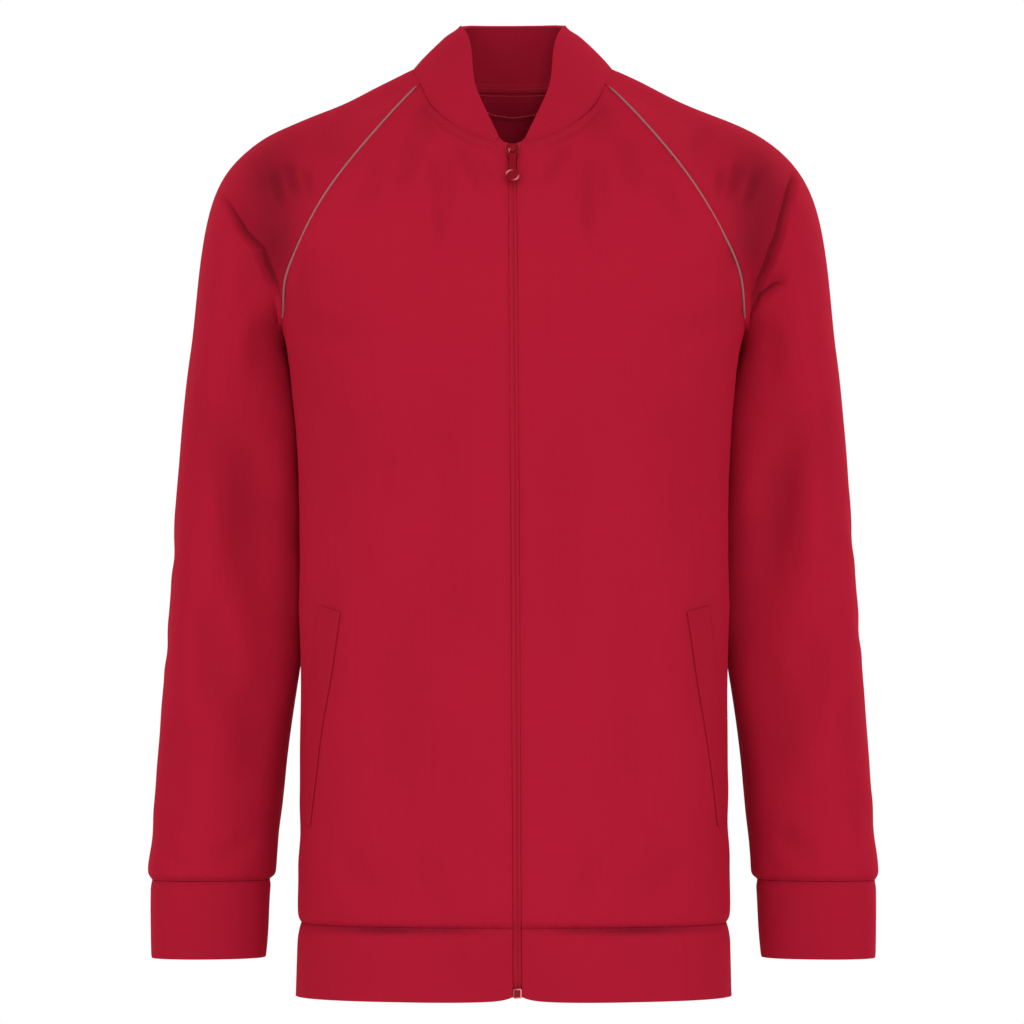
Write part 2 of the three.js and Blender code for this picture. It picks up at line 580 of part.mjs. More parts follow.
function waistbandPoints() {
  const turns = [...front[0].map((p, j) => turnOfFoot(j)), ...back[0].slice(1, BACK_COLUMNS + 1).map((p, j) => backTurn(j + 1))];
  const heights = [HEM, HEM + 3, -700, -685, -674, BODY_END];
  return heights.map((z, i) => {
    const half = turns.map((turn, j) => {
      const lift = i < 2 ? [4.5, 1][j] ?? 0 : 0; // the rounded lower corner beside the zip
      return trunkPoint(turn, z + (i === 0 ? lift : lift * 0.8));
    });
    const other = half.map((p) => new THREE.Vector3(-p.x, p.y, p.z)).reverse();
    return [...half, ...other.slice(1)];
  });
}

/** The turn of a front panel's column at the body's lower seam. */
function turnOfFoot(j) {
  const edge = turnAt(ZIP_GAP, BODY_END);
  return edge * (1 - FRONT_SHARES[j]) + sideSeam[0].turn * FRONT_SHARES[j];
}

/** The turn of a back panel's column at the body's lower seam. */
function backTurn(j) {
  return sideSeam[0].turn + ((Math.PI - sideSeam[0].turn) * j) / BACK_COLUMNS;
}

const collar = collarPoints();
const waistband = waistbandPoints();

addCloth("front_left", settled(front));
addCloth("front_right", settled(mirrored(front)), { turned: true });
addCloth("back", settled(back));
addCloth("sleeve_left", settled(sleeve), { closed: true, turned: true });
addCloth("sleeve_right", settled(mirrored(sleeve)), { closed: true });
addCloth("cuff_left", settled(cuff), { wall: BAND, closed: true, turned: true });
addCloth("cuff_right", settled(mirrored(cuff)), { wall: BAND, closed: true });
addCloth("collar", settled(collar), { wall: BAND });
addCloth("waistband", settled(waistband), { wall: BAND });

const KNIT_PIECES = new Set(["cuff_left", "cuff_right", "collar", "waistband"]);
const built = {};
for (const piece of pieces) {
  const { outer, inner } = layers(piece);
  built[piece.name] = { outer, inner, normals: piece.normals, points: piece.points, turned: piece.turned };
  const material = KNIT_PIECES.has(piece.name) ? knit : cloth;
  addMesh(piece.name, wallBody(outer, inner, piece.closed, piece.turned), material);
}

// Solids from walls, and back

function solidOf(geometry) {
  const mesh = new wasm.Mesh({
    numProp: 3,
    vertProperties: Float32Array.from(geometry.getAttribute("position").array),
    triVerts: Uint32Array.from(geometry.index.array),
  });
  return new wasm.Manifold(mesh);
}

function geometryOf(solid) {
  const mesh = solid.getMesh();
  const geometry = new THREE.BufferGeometry();
  geometry.setAttribute("position", new THREE.Float32BufferAttribute(mesh.vertProperties, 3));
  geometry.setIndex(new THREE.Uint32BufferAttribute(mesh.triVerts, 1));
  return geometry;
}

/** A thin body that lies on a wall's layer: every point moved along its normal, out or in. */
function lyingOn(grid, normals, near, deep, turned) {
  const moved = (by) => grid.map((row, i) => row.map((p, j) => p.clone().addScaledVector(normals[i][j], by)));
  const [outer, inner] = near > 0 ? [moved(near + deep), moved(near)] : [moved(near), moved(near - deep)];
  return wallBody(outer, inner, false, turned);
}

/** A flat plate: an outline in x and z, reaching outwards from near to far. */
function plate(outline, near, far) {
  return wasm.Manifold.extrude([outline], far - near).translate([0, 0, near]).rotate([90, 0, 0]);
}

/** A rectangle's outline with its corners rounded. */
function roundedOutline(wide, tall, corner) {
  const steps = 4;
  const at = (cx, cz, from) =>
    Array.from({ length: steps + 1 }, (_, k) => {
      const turn = from + ((Math.PI / 2) * k) / steps;
      return [cx + corner * Math.cos(turn), cz + corner * Math.sin(turn)];
    });
  const x = wide / 2 - corner;
  const z = tall / 2 - corner;
  return [...at(x, z, 0), ...at(-x, z, Math.PI / 2), ...at(-x, -z, Math.PI), ...at(x, -z, 1.5 * Math.PI)];
}

// Pocket welts, cut from the front panel's own points moved out

function addWelt(name, panel, side) {
  const { outer, normals, turned } = built[panel];
  const skin = solidOf(lyingOn(outer, normals, LYING, WELT.deep, turned));
  const aside = (WELT_LINE.endX - WELT_LINE.topX) / Math.cos(degrees(WELT.face));
  const lean = Math.atan2(aside, WELT_LINE.topZ - WELT_LINE.endZ);
  const middle = new THREE.Vector3(
    (side * (WELT_LINE.topX + WELT_LINE.endX)) / 2,
    0,
    (WELT_LINE.topZ + WELT_LINE.endZ) / 2,
  );
  const turn = turnAt((WELT_LINE.topX + WELT_LINE.endX) / 2 + 8, middle.z);
  middle.y = trunkPoint(turn, middle.z).y;
  const cutter = plate(roundedOutline(WELT.wide, WELT.long, WELT.corner), -14, 14)
    .translate([side * (WELT.wide / 2), 0, 0])
    .rotate([0, side * -THREE.MathUtils.radToDeg(lean), 0])
    .rotate([0, 0, side * WELT.face])
    .translate([middle.x, middle.y, middle.z]);
  addMesh(name, geometryOf(skin.intersect(cutter)), cloth);
}

// The zip, on the line midway between the front edges

const centreLine = [
  ...built.waistband.points.map((row, i) => ({ point: row[0], normal: built.waistband.normals[i][0], depth: BAND })),
  ...built.front_left.points.slice(1).map((row, i) => ({
    point: row[0],
    normal: built.front_left.normals[i + 1][0],
    depth: CLOTH,
  })),
].map(({ point, normal, depth }) => {
  const leaned = column(LEAN, "z", "shift", point.z);
  return {
    point: new THREE.Vector3(leaned, point.y, point.z),
    normal: new THREE.Vector3(0, normal.y, normal.z).normalize(),
    depth: depth + LYING,
  };
});

/** The zip line's point, outward normal and depth of the tape at a height. */
function centreAt(z) {
  const k = THREE.MathUtils.clamp(centreLine.findIndex((c) => c.point.z > z), 1, centreLine.length - 1);
  const [a, b] = [centreLine[k - 1], centreLine[k]];
  const share = (z - a.point.z) / (b.point.z - a.point.z);
  return {
    point: a.point.clone().lerp(b.point, share),
    normal: a.normal.clone().lerp(b.normal, share).normalize(),
    depth: a.depth * (1 - share) + b.depth * share,
  };
}

/** A strip along the zip line between two heights, from x = left to right, set behind the cloth's face. */
function addStrip(name, from, to, left, right, setBack, deep, material) {
  const between = centreLine.map((c) => c.point.z).filter((z) => z > from + 2 && z < to - 2);
  const rows = [from, ...between, to].map(centreAt);
  const layer = (extra) =>
    rows.map(({ point, normal, depth }) =>
      [left, right].map((x) => point.clone().addScaledVector(normal, -(setBack(depth) + extra)).setX(point.x + x)),
    );
  addMesh(name, wallBody(layer(0), layer(deep), false, false), material);
}

addWelt("pocket_welt_left", "front_left", 1);
addWelt("pocket_welt_right", "front_right", -1);

const tapeSet = (depth) => depth;
const chainSet = (depth) => depth - LYING - CHAIN_DEEP;
const TAPE_TOP = -62.1;
const TAPE_FOOT = -715.8;
const CHAIN_TOP = SLIDER.z + 0.6;
addStrip("zip_tape_left", TAPE_FOOT, TAPE_TOP, TAPE.edge, TAPE.far, tapeSet, TAPE_DEEP, zipTape);
addStrip("zip_tape_right", TAPE_FOOT, TAPE_TOP, -TAPE.far, -TAPE.edge, tapeSet, TAPE_DEEP, zipTape);
addStrip("zip_chain", BOX.z + BOX.tall / 2 + SEAM, CHAIN_TOP, -CHAIN_HALF, CHAIN_HALF, chainSet, CHAIN_DEEP, zipMetal);

/** Places a solid, made round the zip line with its outside towards -Y, at a height on that line. */
function addOnZip(name, solid, z, material) {
  const { point } = centreAt(z);
  const along = centreAt(z + 6).point.sub(centreAt(z - 12).point);
  const mesh = addMesh(name, geometryOf(solid), material);
  mesh.position.copy(point);
  mesh.rotation.x = Math.atan2(-along.y, along.z);
  return mesh;
}

function sliderSolid() {
  const taper = (1 - SLIDER.foot / SLIDER.wide) / SLIDER.long;
  const shield = roundedOutline(SLIDER.wide, SLIDER.long, 2.4).map(([x, z]) => [x * (1 - taper * (SLIDER.long / 2 - z)), z]);
  const face = LYING + SLIDER.rise;
  const faceplate = plate(shield, face, face + SLIDER.deep);
  const backplate = plate(roundedOutline(SLIDER.foot, 9, 2.4), -SLIDER.back - 1.5, -SLIDER.back);
  const stem = plate(roundedOutline(SLIDER.stem, 3.6, 0.8), -SLIDER.back - 1, face + 0.6).translate([0, 0, SLIDER.long / 2 - 2]);
  const foot = face + SLIDER.deep - 0.3;
  const arch = [];
  const steps = 10;
  for (let k = 0; k <= steps; k++) {
    const turn = (Math.PI * k) / steps;
    arch.push([foot + BRIDGE.rise * Math.sin(turn) + 0.2, BRIDGE.reach * Math.cos(turn)]);
  }
  const window = [
    [foot - 1, -BRIDGE.room],
    [foot + BRIDGE.head - 0.6, -BRIDGE.room],
    [foot + BRIDGE.head, -BRIDGE.room + 0.9],
    [foot + BRIDGE.head, BRIDGE.room - 0.9],
    [foot + BRIDGE.head - 0.6, BRIDGE.room],
    [foot - 1, BRIDGE.room],
  ];
  const side = (outline) => {
    const turned = outline.map(([out, z]) => [-out, z]);
    return wasm.Manifold.extrude([new wasm.CrossSection([turned], "NonZero").toPolygons()[0]], BRIDGE.wide, 0, 0, [1, 1], true)
      .rotate([90, 0, 0])
      .rotate([0, 0, 90]);
  };
  const bridge = side(arch).subtract(side(window));
  return wasm.Manifold.union([faceplate, backplate, stem, bridge]);
}

function pullSolid() {
  const bar = wasm.Manifold.cylinder(PULL.eye, PULL.bar, PULL.bar, 16, true).rotate([0, 90, 0]);
  const half = PULL.deep / 2;
  const top = PULL.bar / 2;
  const frame = plate(roundedOutline(PULL.eye, PULL.drop + PULL.leg + top, 0.9), -half, half)
    .translate([0, 0, top - (PULL.drop + PULL.leg + top) / 2]);
  const hole = plate(roundedOutline(PULL.eye - 2 * PULL.leg, PULL.drop, 0.5), -2, 2).translate([0, 0, -PULL.drop / 2]);
  const eye = frame.subtract(hole).add(bar);
  const neckLong = PULL.ringDrop - PULL.drop;
  const neck = plate(roundedOutline(PULL.neck, neckLong, 0.4), -half * 0.8, half * 0.8)
    .translate([0, 0, -PULL.drop - neckLong / 2 - 0.2]);
  const disc = (radius, deep) =>
    wasm.Manifold.cylinder(deep, radius, radius, 28, true).rotate([90, 0, 0]).translate([0, 0, -PULL.ringDrop]);
  const rim = disc(PULL.ring, PULL.deep + 0.4).subtract(disc(PULL.ring - 1, 4));
  return wasm.Manifold.union([eye, neck.subtract(disc(PULL.ring - 0.8, 4)), rim, disc(PULL.ring - 0.8, PULL.deep - 0.3)]);
}

addOnZip("zip_slider", sliderSolid(), SLIDER.z, zipMetal);
addOnZip("pull_tab", pullSolid().rotate([-PULL.tilt, 0, 0]).translate([0, -PULL.out, 0]), SLIDER.z, zipMetal);
const box = plate(roundedOutline(BOX.wide, BOX.tall, 1), -BOX.far, -BOX.near);
addOnZip("zip_box", box, BOX.z, zipMetal);

// Piping, just outside the front raglan seams

/** A cord with a few sides along a line of points, each with an upright. */
function cordBody(line, uprights, radius, sides) {
  const rings = line.map((p, k) => {
    const along = line[Math.min(k + 1, line.length - 1)].clone().sub(line[Math.max(k - 1, 0)]).normalize();
    const across = uprights[k].clone().cross(along).normalize();
    const up = along.clone().cross(across).normalize();
    return Array.from({ length: sides }, (_, j) => {
      const turn = (2 * Math.PI * j) / sides;
      return p.clone().addScaledVector(across, radius * Math.cos(turn)).addScaledVector(up, radius * Math.sin(turn));
    });
  });
  const last = rings.length - 1;
  const index = [];
  for (let i = 0; i < last; i++)
    for (let j = 0; j < sides; j++) {
      const [a, b] = [i * sides + j, i * sides + ((j + 1) % sides)];
      index.push(a, b, b + sides, a, b + sides, a + sides);
    }
  for (let j = 1; j < sides - 1; j++) {
    index.push(0, j + 1, j);
    index.push(last * sides, last * sides + j, last * sides + j + 1);
  }
  const geometry = new THREE.BufferGeometry();
  geometry.setAttribute("position", new THREE.Float32BufferAttribute(rings.flat().flatMap((p) => p.toArray()), 3));
  geometry.setIndex(index);
  return geometry;
}

function addPiping(name, panel) {
  const { points, normals } = built[panel];
  const first = sideSeam.length + 1; // above the deep fold under the arm, where the seam hides
  const edge = points[0].length - 1;
  const rows = points.slice(first).map((row, k) => ({ seam: row[edge], normal: normals[first + k][edge] }));
  const line = rows.map(({ seam, normal }) => {
    const folded = Math.cos((seamFolds.get(seamKey(seam)) ?? 0) / 2);
    return seam.clone().addScaledVector(normal, (PIPING.radius + LYING) / folded);
  });
  line[line.length - 1].lerp(line[line.length - 2], 0.12);
  line[0].lerp(line[1], 0.5);
  addMesh(name, cordBody(line, rows.map((r) => r.normal), PIPING.radius, PIPING.sides), pipingGrey);
}

addPiping("piping_left", "front_left");
addPiping("piping_right", "front_right");

// Inside the back neck

function addFacing() {
  const { inner, normals } = built.back;
  const skin = solidOf(lyingOn(inner, normals, -LYING, FACING.deep, false));
  const moon = Array.from({ length: 48 }, (_, k) => {
    const turn = (2 * Math.PI * k) / 48;
    return [FACING.halfWidth * Math.cos(turn), FACING.centreZ + FACING.drop * Math.sin(turn)];
  });
  addMesh("back_neck_facing", geometryOf(skin.intersect(plate(moon, -160, 0))), cloth);
}

function addNeckTape() {
  const { inner, normals } = built.collar;
  const ends = FRONT_COLUMNS + 2;
  const rows = [NECK_TAPE.from, NECK_TAPE.to].map((share) =>
    inner[0].map((p, j) => p.clone().lerp(inner[1][j], share)).slice(ends, inner[0].length - ends),
  );
  const tilts = [NECK_TAPE.from, NECK_TAPE.to].map((share) =>
    normals[0].map((n, j) => n.clone().lerp(normals[1][j], share).normalize()).slice(ends, inner[0].length - ends),
  );
  addMesh("back_neck_tape", lyingOn(rows, tilts, -LYING, NECK_TAPE.deep, false), knit);
}

addFacing();
addNeckTape();

export default jacket;
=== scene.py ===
"""The looks of the track jacket: knit cloth with its folds, sewing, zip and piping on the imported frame."""
import logging
import math
from dataclasses import dataclass, field
from enum import Enum
from typing import Any, ClassVar, Sequence

import bmesh
import bpy
import numpy as np
from bmesh.types import BMEdge, BMesh, BMVert
from bpy.types import Material, Mesh, NodeSocket, Object
from mathutils import Matrix, Vector
from mathutils.bvhtree import BVHTree
from mathutils.kdtree import KDTree


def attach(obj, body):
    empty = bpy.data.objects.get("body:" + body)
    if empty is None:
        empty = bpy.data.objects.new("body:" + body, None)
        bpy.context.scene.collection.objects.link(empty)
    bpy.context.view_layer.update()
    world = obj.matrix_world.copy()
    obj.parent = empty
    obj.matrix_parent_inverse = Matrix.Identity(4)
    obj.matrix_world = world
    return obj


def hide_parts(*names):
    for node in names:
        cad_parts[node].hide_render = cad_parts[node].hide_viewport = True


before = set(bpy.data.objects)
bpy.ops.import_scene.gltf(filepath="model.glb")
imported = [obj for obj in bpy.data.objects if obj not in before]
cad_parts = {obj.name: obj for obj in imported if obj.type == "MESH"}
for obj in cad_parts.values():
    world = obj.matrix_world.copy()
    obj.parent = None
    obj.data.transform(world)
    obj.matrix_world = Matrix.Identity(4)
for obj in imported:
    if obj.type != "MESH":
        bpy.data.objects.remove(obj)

Colour = tuple[float, float, float]
Dyes = dict[str, Material]
Path = tuple[tuple[float, float], ...]

LOG = logging.getLogger("track_jacket")
MM = 0.001
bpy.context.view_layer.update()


class Facing(Enum):
    """The side of the jacket that a crease is drawn on, as the way its cloth faces."""

    FRONT = (0, -1, 0)
    BACK = (0, 1, 0)
    LEFT = (1, 0, 0)
    RIGHT = (-1, 0, 0)


class Held(Enum):
    """How a cloth piece is held in shape."""

    HUNG = "hung"
    FOLDED = "folded"


class Strand:
    """A socket of a finish, which takes part in sums written as Python expressions."""

    def __init__(self, recipe: "Recipe", socket: NodeSocket) -> None:
        """Wraps one output socket of a recipe."""
        self.recipe = recipe
        self.socket = socket

    def __add__(self, other: Any) -> "Strand":
        """This plus the other."""
        return self.recipe.maths("ADD", self, other)

    def __radd__(self, other: Any) -> "Strand":
        """The other plus this."""
        return self.recipe.maths("ADD", other, self)

    def __sub__(self, other: Any) -> "Strand":
        """This less the other."""
        return self.recipe.maths("SUBTRACT", self, other)

    def __rsub__(self, other: Any) -> "Strand":
        """The other less this."""
        return self.recipe.maths("SUBTRACT", other, self)

    def __mul__(self, other: Any) -> "Strand":
        """This times the other."""
        return self.recipe.maths("MULTIPLY", self, other)

    def __rmul__(self, other: Any) -> "Strand":
        """The other times this."""
        return self.recipe.maths("MULTIPLY", other, self)

    def __pow__(self, other: Any) -> "Strand":
        """This to the power of the other."""
        return self.recipe.maths("POWER", self, other)

    def __abs__(self) -> "Strand":
        """The size of this value."""
        return self.recipe.maths("ABSOLUTE", self)

    def sine(self) -> "Strand":
        """The sine of this value, in radians."""
        return self.recipe.maths("SINE", self)

    def part(self) -> "Strand":
        """What is left of this value over its whole number."""
        return self.recipe.maths("FRACT", self)


class Recipe:
    """The node tree of one finish."""

    def __init__(self, name: str) -> None:
        """Starts an empty material under this name."""
        self.material = bpy.data.materials.new(name)
        self.material.use_nodes = True
        self.tree = self.material.node_tree
        self.tree.nodes.clear()

    def node(self, kind: str, settings: dict[str, Any], inputs: dict[Any, Any], output: Any = 0) -> Strand:
        """Adds a node, sets it up and links it.

        Args:
            kind: the node's type.
            settings: its own properties, which are set first.
            inputs: the value or strand of each socket, by its name or number.
            output: the name or number of the output that is wanted.

        Returns:
            The output as a strand.
        """
        made = self.tree.nodes.new(kind)
        for key, value in settings.items():
            setattr(made, key, value)
        for key, value in inputs.items():
            if isinstance(value, Strand):
                self.tree.links.new(value.socket, made.inputs[key])
            else:
                made.inputs[key].default_value = value
        return Strand(self, made.outputs[output])

    def maths(self, operation: str, *values: Any) -> Strand:
        """One Math node on numbers or strands."""
        return self.node("ShaderNodeMath", {"operation": operation}, dict(enumerate(values)))

    def mix(self, share: Any, first: Any, second: Any) -> Strand:
        """Mixes two colours; the share, from 0 to 1, is how much of the second one there is."""
        return self.node("ShaderNodeMix", {"data_type": "RGBA"}, {0: share, 6: first, 7: second}, 2)

    def solid(self) -> Strand:
        """The object's own coordinates."""
        return self.node("ShaderNodeTexCoord", {}, {}, "Object")

    def cloth(self) -> tuple[Strand, Strand, Strand]:
        """The cloth's coordinates in metres: both together, across it, and along it."""
        where = self.node("ShaderNodeUVMap", {"uv_map": "cloth"}, {})
        return where, self.axis(where, "X"), self.axis(where, "Y")

    def axis(self, where: Strand, name: str) -> Strand:
        """One axis of some coordinates."""
        return self.node("ShaderNodeSeparateXYZ", {}, {0: where}, name)

    def attribute(self, name: str) -> Strand:
        """A value from 0 to 1 that the mesh holds at its points."""
        return self.node("ShaderNodeAttribute", {"attribute_name": name}, {}, "Fac")

    def noise(self, where: Strand, scale: float, detail: float = 2.0, rough: float = 0.5) -> Strand:
        """Soft noise from 0 to 1 at a scale given per metre."""
        sockets = {"Vector": where, "Scale": scale, "Detail": detail, "Roughness": rough}
        return self.node("ShaderNodeTexNoise", {}, sockets, "Fac")

    def bump(self, height: Strand, distance: float, strength: float, under: Strand | None = None) -> Strand:
        """A relief normal, over another where one is given."""
        sockets: dict[str, Any] = {"Height": height, "Distance": distance, "Strength": strength}
        if under is not None:
            sockets["Normal"] = under
        return self.node("ShaderNodeBump", {}, sockets)

    def finish(self, sockets: dict[str, Any]) -> Material:
        """Puts the shader with its sockets and the output in place, and gives the finished material."""
        shader = self.node("ShaderNodeBsdfPrincipled", {}, sockets, "BSDF")
        output = self.tree.nodes.new("ShaderNodeOutputMaterial")
        self.tree.links.new(shader.socket, output.inputs["Surface"])
        return self.material


def rgba(red: float, green: float, blue: float) -> tuple[float, float, float, float]:
    """A linear colour with full cover."""
    return (red, green, blue, 1.0)


@dataclass(frozen=True)
class Finish:
    """The look of one material.

    Args:
        name: the finish's name.
        colour: its main colour, linear.
    """

    name: str
    colour: Colour

    def dyed(self, red: float, green: float, blue: float) -> tuple[float, float, float, float]:
        """The main colour, with each of its parts made stronger or weaker."""
        return rgba(self.colour[0] * red, self.colour[1] * green, self.colour[2] * blue)


@dataclass(frozen=True)
class KnitFinish(Finish):
    """Matt polyester knit with fine wales running down the cloth.

    Args:
        wale: the distance from one wale to the next, in mm.
        course: the distance from one row of loops to the next, in mm.
        relief: the height of the loops, in mm.
        sheen: how strongly the nap of the yarn catches grazing light.
    """

    wale: float = 0.85
    course: float = 0.7
    relief: float = 0.1
    sheen: float = 0.3

    def make(self) -> Material:
        """Builds the material."""
        recipe = Recipe(self.name)
        where, across, along = recipe.cloth()
        solid = recipe.solid()
        wale = abs((across * (1 / (self.wale * MM))).part() - 0.5) * 2.0
        row = (along * (2 * math.pi / (self.course * MM)) + wale * 2.4).sine()
        loops = (1.0 - wale ** 2.0) * 0.6 + row * 0.2 + 0.2
        fuzz = recipe.noise(solid, 2600.0, 2.0, 0.6)
        cloud = recipe.noise(solid, 9.0, 3.0, 0.55)
        streak_at = recipe.node(
            "ShaderNodeMapping", {"vector_type": "POINT"}, {"Vector": where, "Scale": (420.0, 14.0, 1.0)}
        )
        streak = recipe.noise(streak_at, 1.0, 2.0, 0.5)
        low = self.dyed(0.88, 0.8, 0.88)
        high = self.dyed(1.08, 1.15, 1.08)
        tone = cloud * 0.5 + streak * 0.3 + loops * 0.14 + fuzz * 0.12
        # Painted shade: the attribute mixes the knit towards a darker red in creases and along seams.
        fold = recipe.attribute("painted_shade_amount")
        shadow = self.dyed(0.32, 0.6, 0.4)
        colour = recipe.mix(fold, recipe.mix(tone, low, high), shadow)
        rough = 0.82 + fuzz * 0.1 - loops * 0.05
        pucker = recipe.noise(solid, 55.0, 3.0, 0.5)
        under = recipe.bump(pucker, 0.5 * MM, 0.5)
        relief = recipe.bump(loops + fuzz * 0.5, self.relief * MM, 0.7, under)
        return recipe.finish(
            {
                "Base Color": colour,
                "Roughness": rough,
                "Normal": relief,
                "Specular IOR Level": 0.02,
                "Sheen Weight": self.sheen,
                "Sheen Roughness": 0.5,
                "Sheen Tint": rgba(0.9, 0.02, 0.06),
            }
        )


@dataclass(frozen=True)
class WovenTapeFinish(Finish):
    """Woven polyester tape with a fine herringbone, its pitch given in mm."""

    pitch: float = 0.7

    def make(self) -> Material:
        """Builds the material."""
        recipe = Recipe(self.name)
        _, across, along = recipe.cloth()
        solid = recipe.solid()
        turn = 2 * math.pi / (self.pitch * MM)
        zigzag = abs((across * (1 / (3 * MM))).part() - 0.5) * 3 * MM
        weave = ((along + zigzag) * turn).sine() * 0.5 + 0.5
        fuzz = recipe.noise(solid, 2200.0, 2.0, 0.6)
        low = self.dyed(0.72, 0.7, 0.74)
        high = self.dyed(1.1, 1.25, 1.1)
        colour = recipe.mix(weave * 0.65 + fuzz * 0.3, low, high)
        return recipe.finish(
            {
                "Base Color": colour,
                "Roughness": 0.6 + fuzz * 0.15,
                "Normal": recipe.bump(weave + fuzz * 0.4, 0.12 * MM, 0.8),
                "Specular IOR Level": 0.1,
            }
        )


@dataclass(frozen=True)
class CordFinish(Finish):
    """Satin-covered cord, twilled slantwise round it, with its pitch given in mm."""

    pitch: float = 0.8

    def make(self) -> Material:
        """Builds the material."""
        recipe = Recipe(self.name)
        solid = recipe.solid()
        across = recipe.axis(solid, "X")
        upward = recipe.axis(solid, "Z")
        turn = 2 * math.pi / (self.pitch * MM)
        twill = ((upward + abs(across) * 0.35) * turn).sine() * 0.5 + 0.5
        fuzz = recipe.noise(solid, 1800.0, 2.0, 0.55)
        low = self.dyed(0.7, 0.68, 0.68)
        high = self.dyed(1.12, 1.12, 1.12)
        return recipe.finish(
            {
                "Base Color": recipe.mix(twill * 0.5 + fuzz * 0.4, low, high),
                "Roughness": 0.4 + fuzz * 0.2,
                "Normal": recipe.bump(twill + fuzz * 0.3, 0.12 * MM, 0.7),
                "Specular IOR Level": 0.5,
                "Sheen Weight": 0.1,
            }
        )


@dataclass(frozen=True)
class LacquerFinish(Finish):
    """Die-cast metal lacquered to match the cloth, with painted highlights on some of its edges.

    Args:
        painted_glint: the colour of the painted highlights.
        gloss: the least roughness of the lacquer.
    """

    painted_glint: Colour
    gloss: float = 0.26

    def make(self) -> Material:
        """Builds the material."""
        recipe = Recipe(self.name)
        solid = recipe.solid()
        peel = recipe.noise(solid, 900.0, 2.0, 0.5)
        grime = recipe.noise(solid, 260.0, 4.0, 0.6)
        glint_amount = recipe.attribute("painted_glint")
        low = self.dyed(0.8, 0.7, 0.75)
        high = self.dyed(1.15, 1.4, 1.3)
        lacquer = recipe.mix(grime, low, high)
        # Painted highlight: the glint attribute mixes in a light pink and makes the lacquer partly metallic
        # there.
        share = glint_amount * (0.6 + grime * 0.5)
        return recipe.finish(
            {
                "Base Color": recipe.mix(share, lacquer, rgba(*self.painted_glint)),
                "Roughness": self.gloss + grime * 0.14,
                "Normal": recipe.bump(peel, 0.05 * MM, 0.4),
                "Coat Weight": peel * 0.03,
                "Metallic": glint_amount * 0.3,
                "Specular IOR Level": 0.05,
            }
        )


@dataclass(frozen=True)
class CoilFinish(Finish):
    """The folded tape over a reversed coil, whose turns show through as fine slanting ribs.

    Args:
        pitch: the distance from one turn of the coil to the next, in mm.
    """

    pitch: float = 1.25

    def make(self) -> Material:
        """Builds the material."""
        recipe = Recipe(self.name)
        _, across, along = recipe.cloth()
        solid = recipe.solid()
        out = abs(across)
        rib = ((along + out * 0.5) * (2 * math.pi / (self.pitch * MM))).sine() * 0.5 + 0.5
        weave = ((along - out) * (2 * math.pi / (0.55 * MM))).sine() * 0.5 + 0.5
        fuzz = recipe.noise(solid, 2200.0, 2.0, 0.6)
        low = self.dyed(0.72, 0.75, 0.8)
        high = self.dyed(1.1, 1.3, 1.15)
        tone = rib * 0.45 + weave * 0.2 + fuzz * 0.3
        # Painted shade from the chain's groove line darkens the colour.
        fold = recipe.attribute("painted_shade_amount")
        shadow = self.dyed(0.45, 0.5, 0.5)
        height = rib + weave * 0.25 + fuzz * 0.2
        return recipe.finish(
            {
                "Base Color": recipe.mix(fold, recipe.mix(tone, low, high), shadow),
                "Roughness": 0.62 + fuzz * 0.15,
                "Normal": recipe.bump(height, 0.16 * MM, 0.7),
                "Specular IOR Level": 0.03,
            }
        )


@dataclass(frozen=True)
class ThreadFinish(Finish):
    """Sewing thread with a soft lustre."""

    def make(self) -> Material:
        """Builds the material."""
        recipe = Recipe(self.name)
        solid = recipe.solid()
        ply = recipe.noise(solid, 3200.0, 2.0, 0.6)
        low = self.dyed(0.75, 0.7, 0.7)
        high = self.dyed(1.2, 1.4, 1.3)
        # Painted highlight: the attribute lightens the thread towards a light pink.
        painted_stitch_light = recipe.attribute("painted_stitch_light")
        return recipe.finish(
            {
                "Base Color": recipe.mix(painted_stitch_light, recipe.mix(ply, low, high), rgba(0.8, 0.13, 0.14)),
                "Roughness": 0.5 + ply * 0.2,
                "Normal": recipe.bump(ply, 0.06 * MM, 0.6),
                "Specular IOR Level": 0.12,
            }
        )


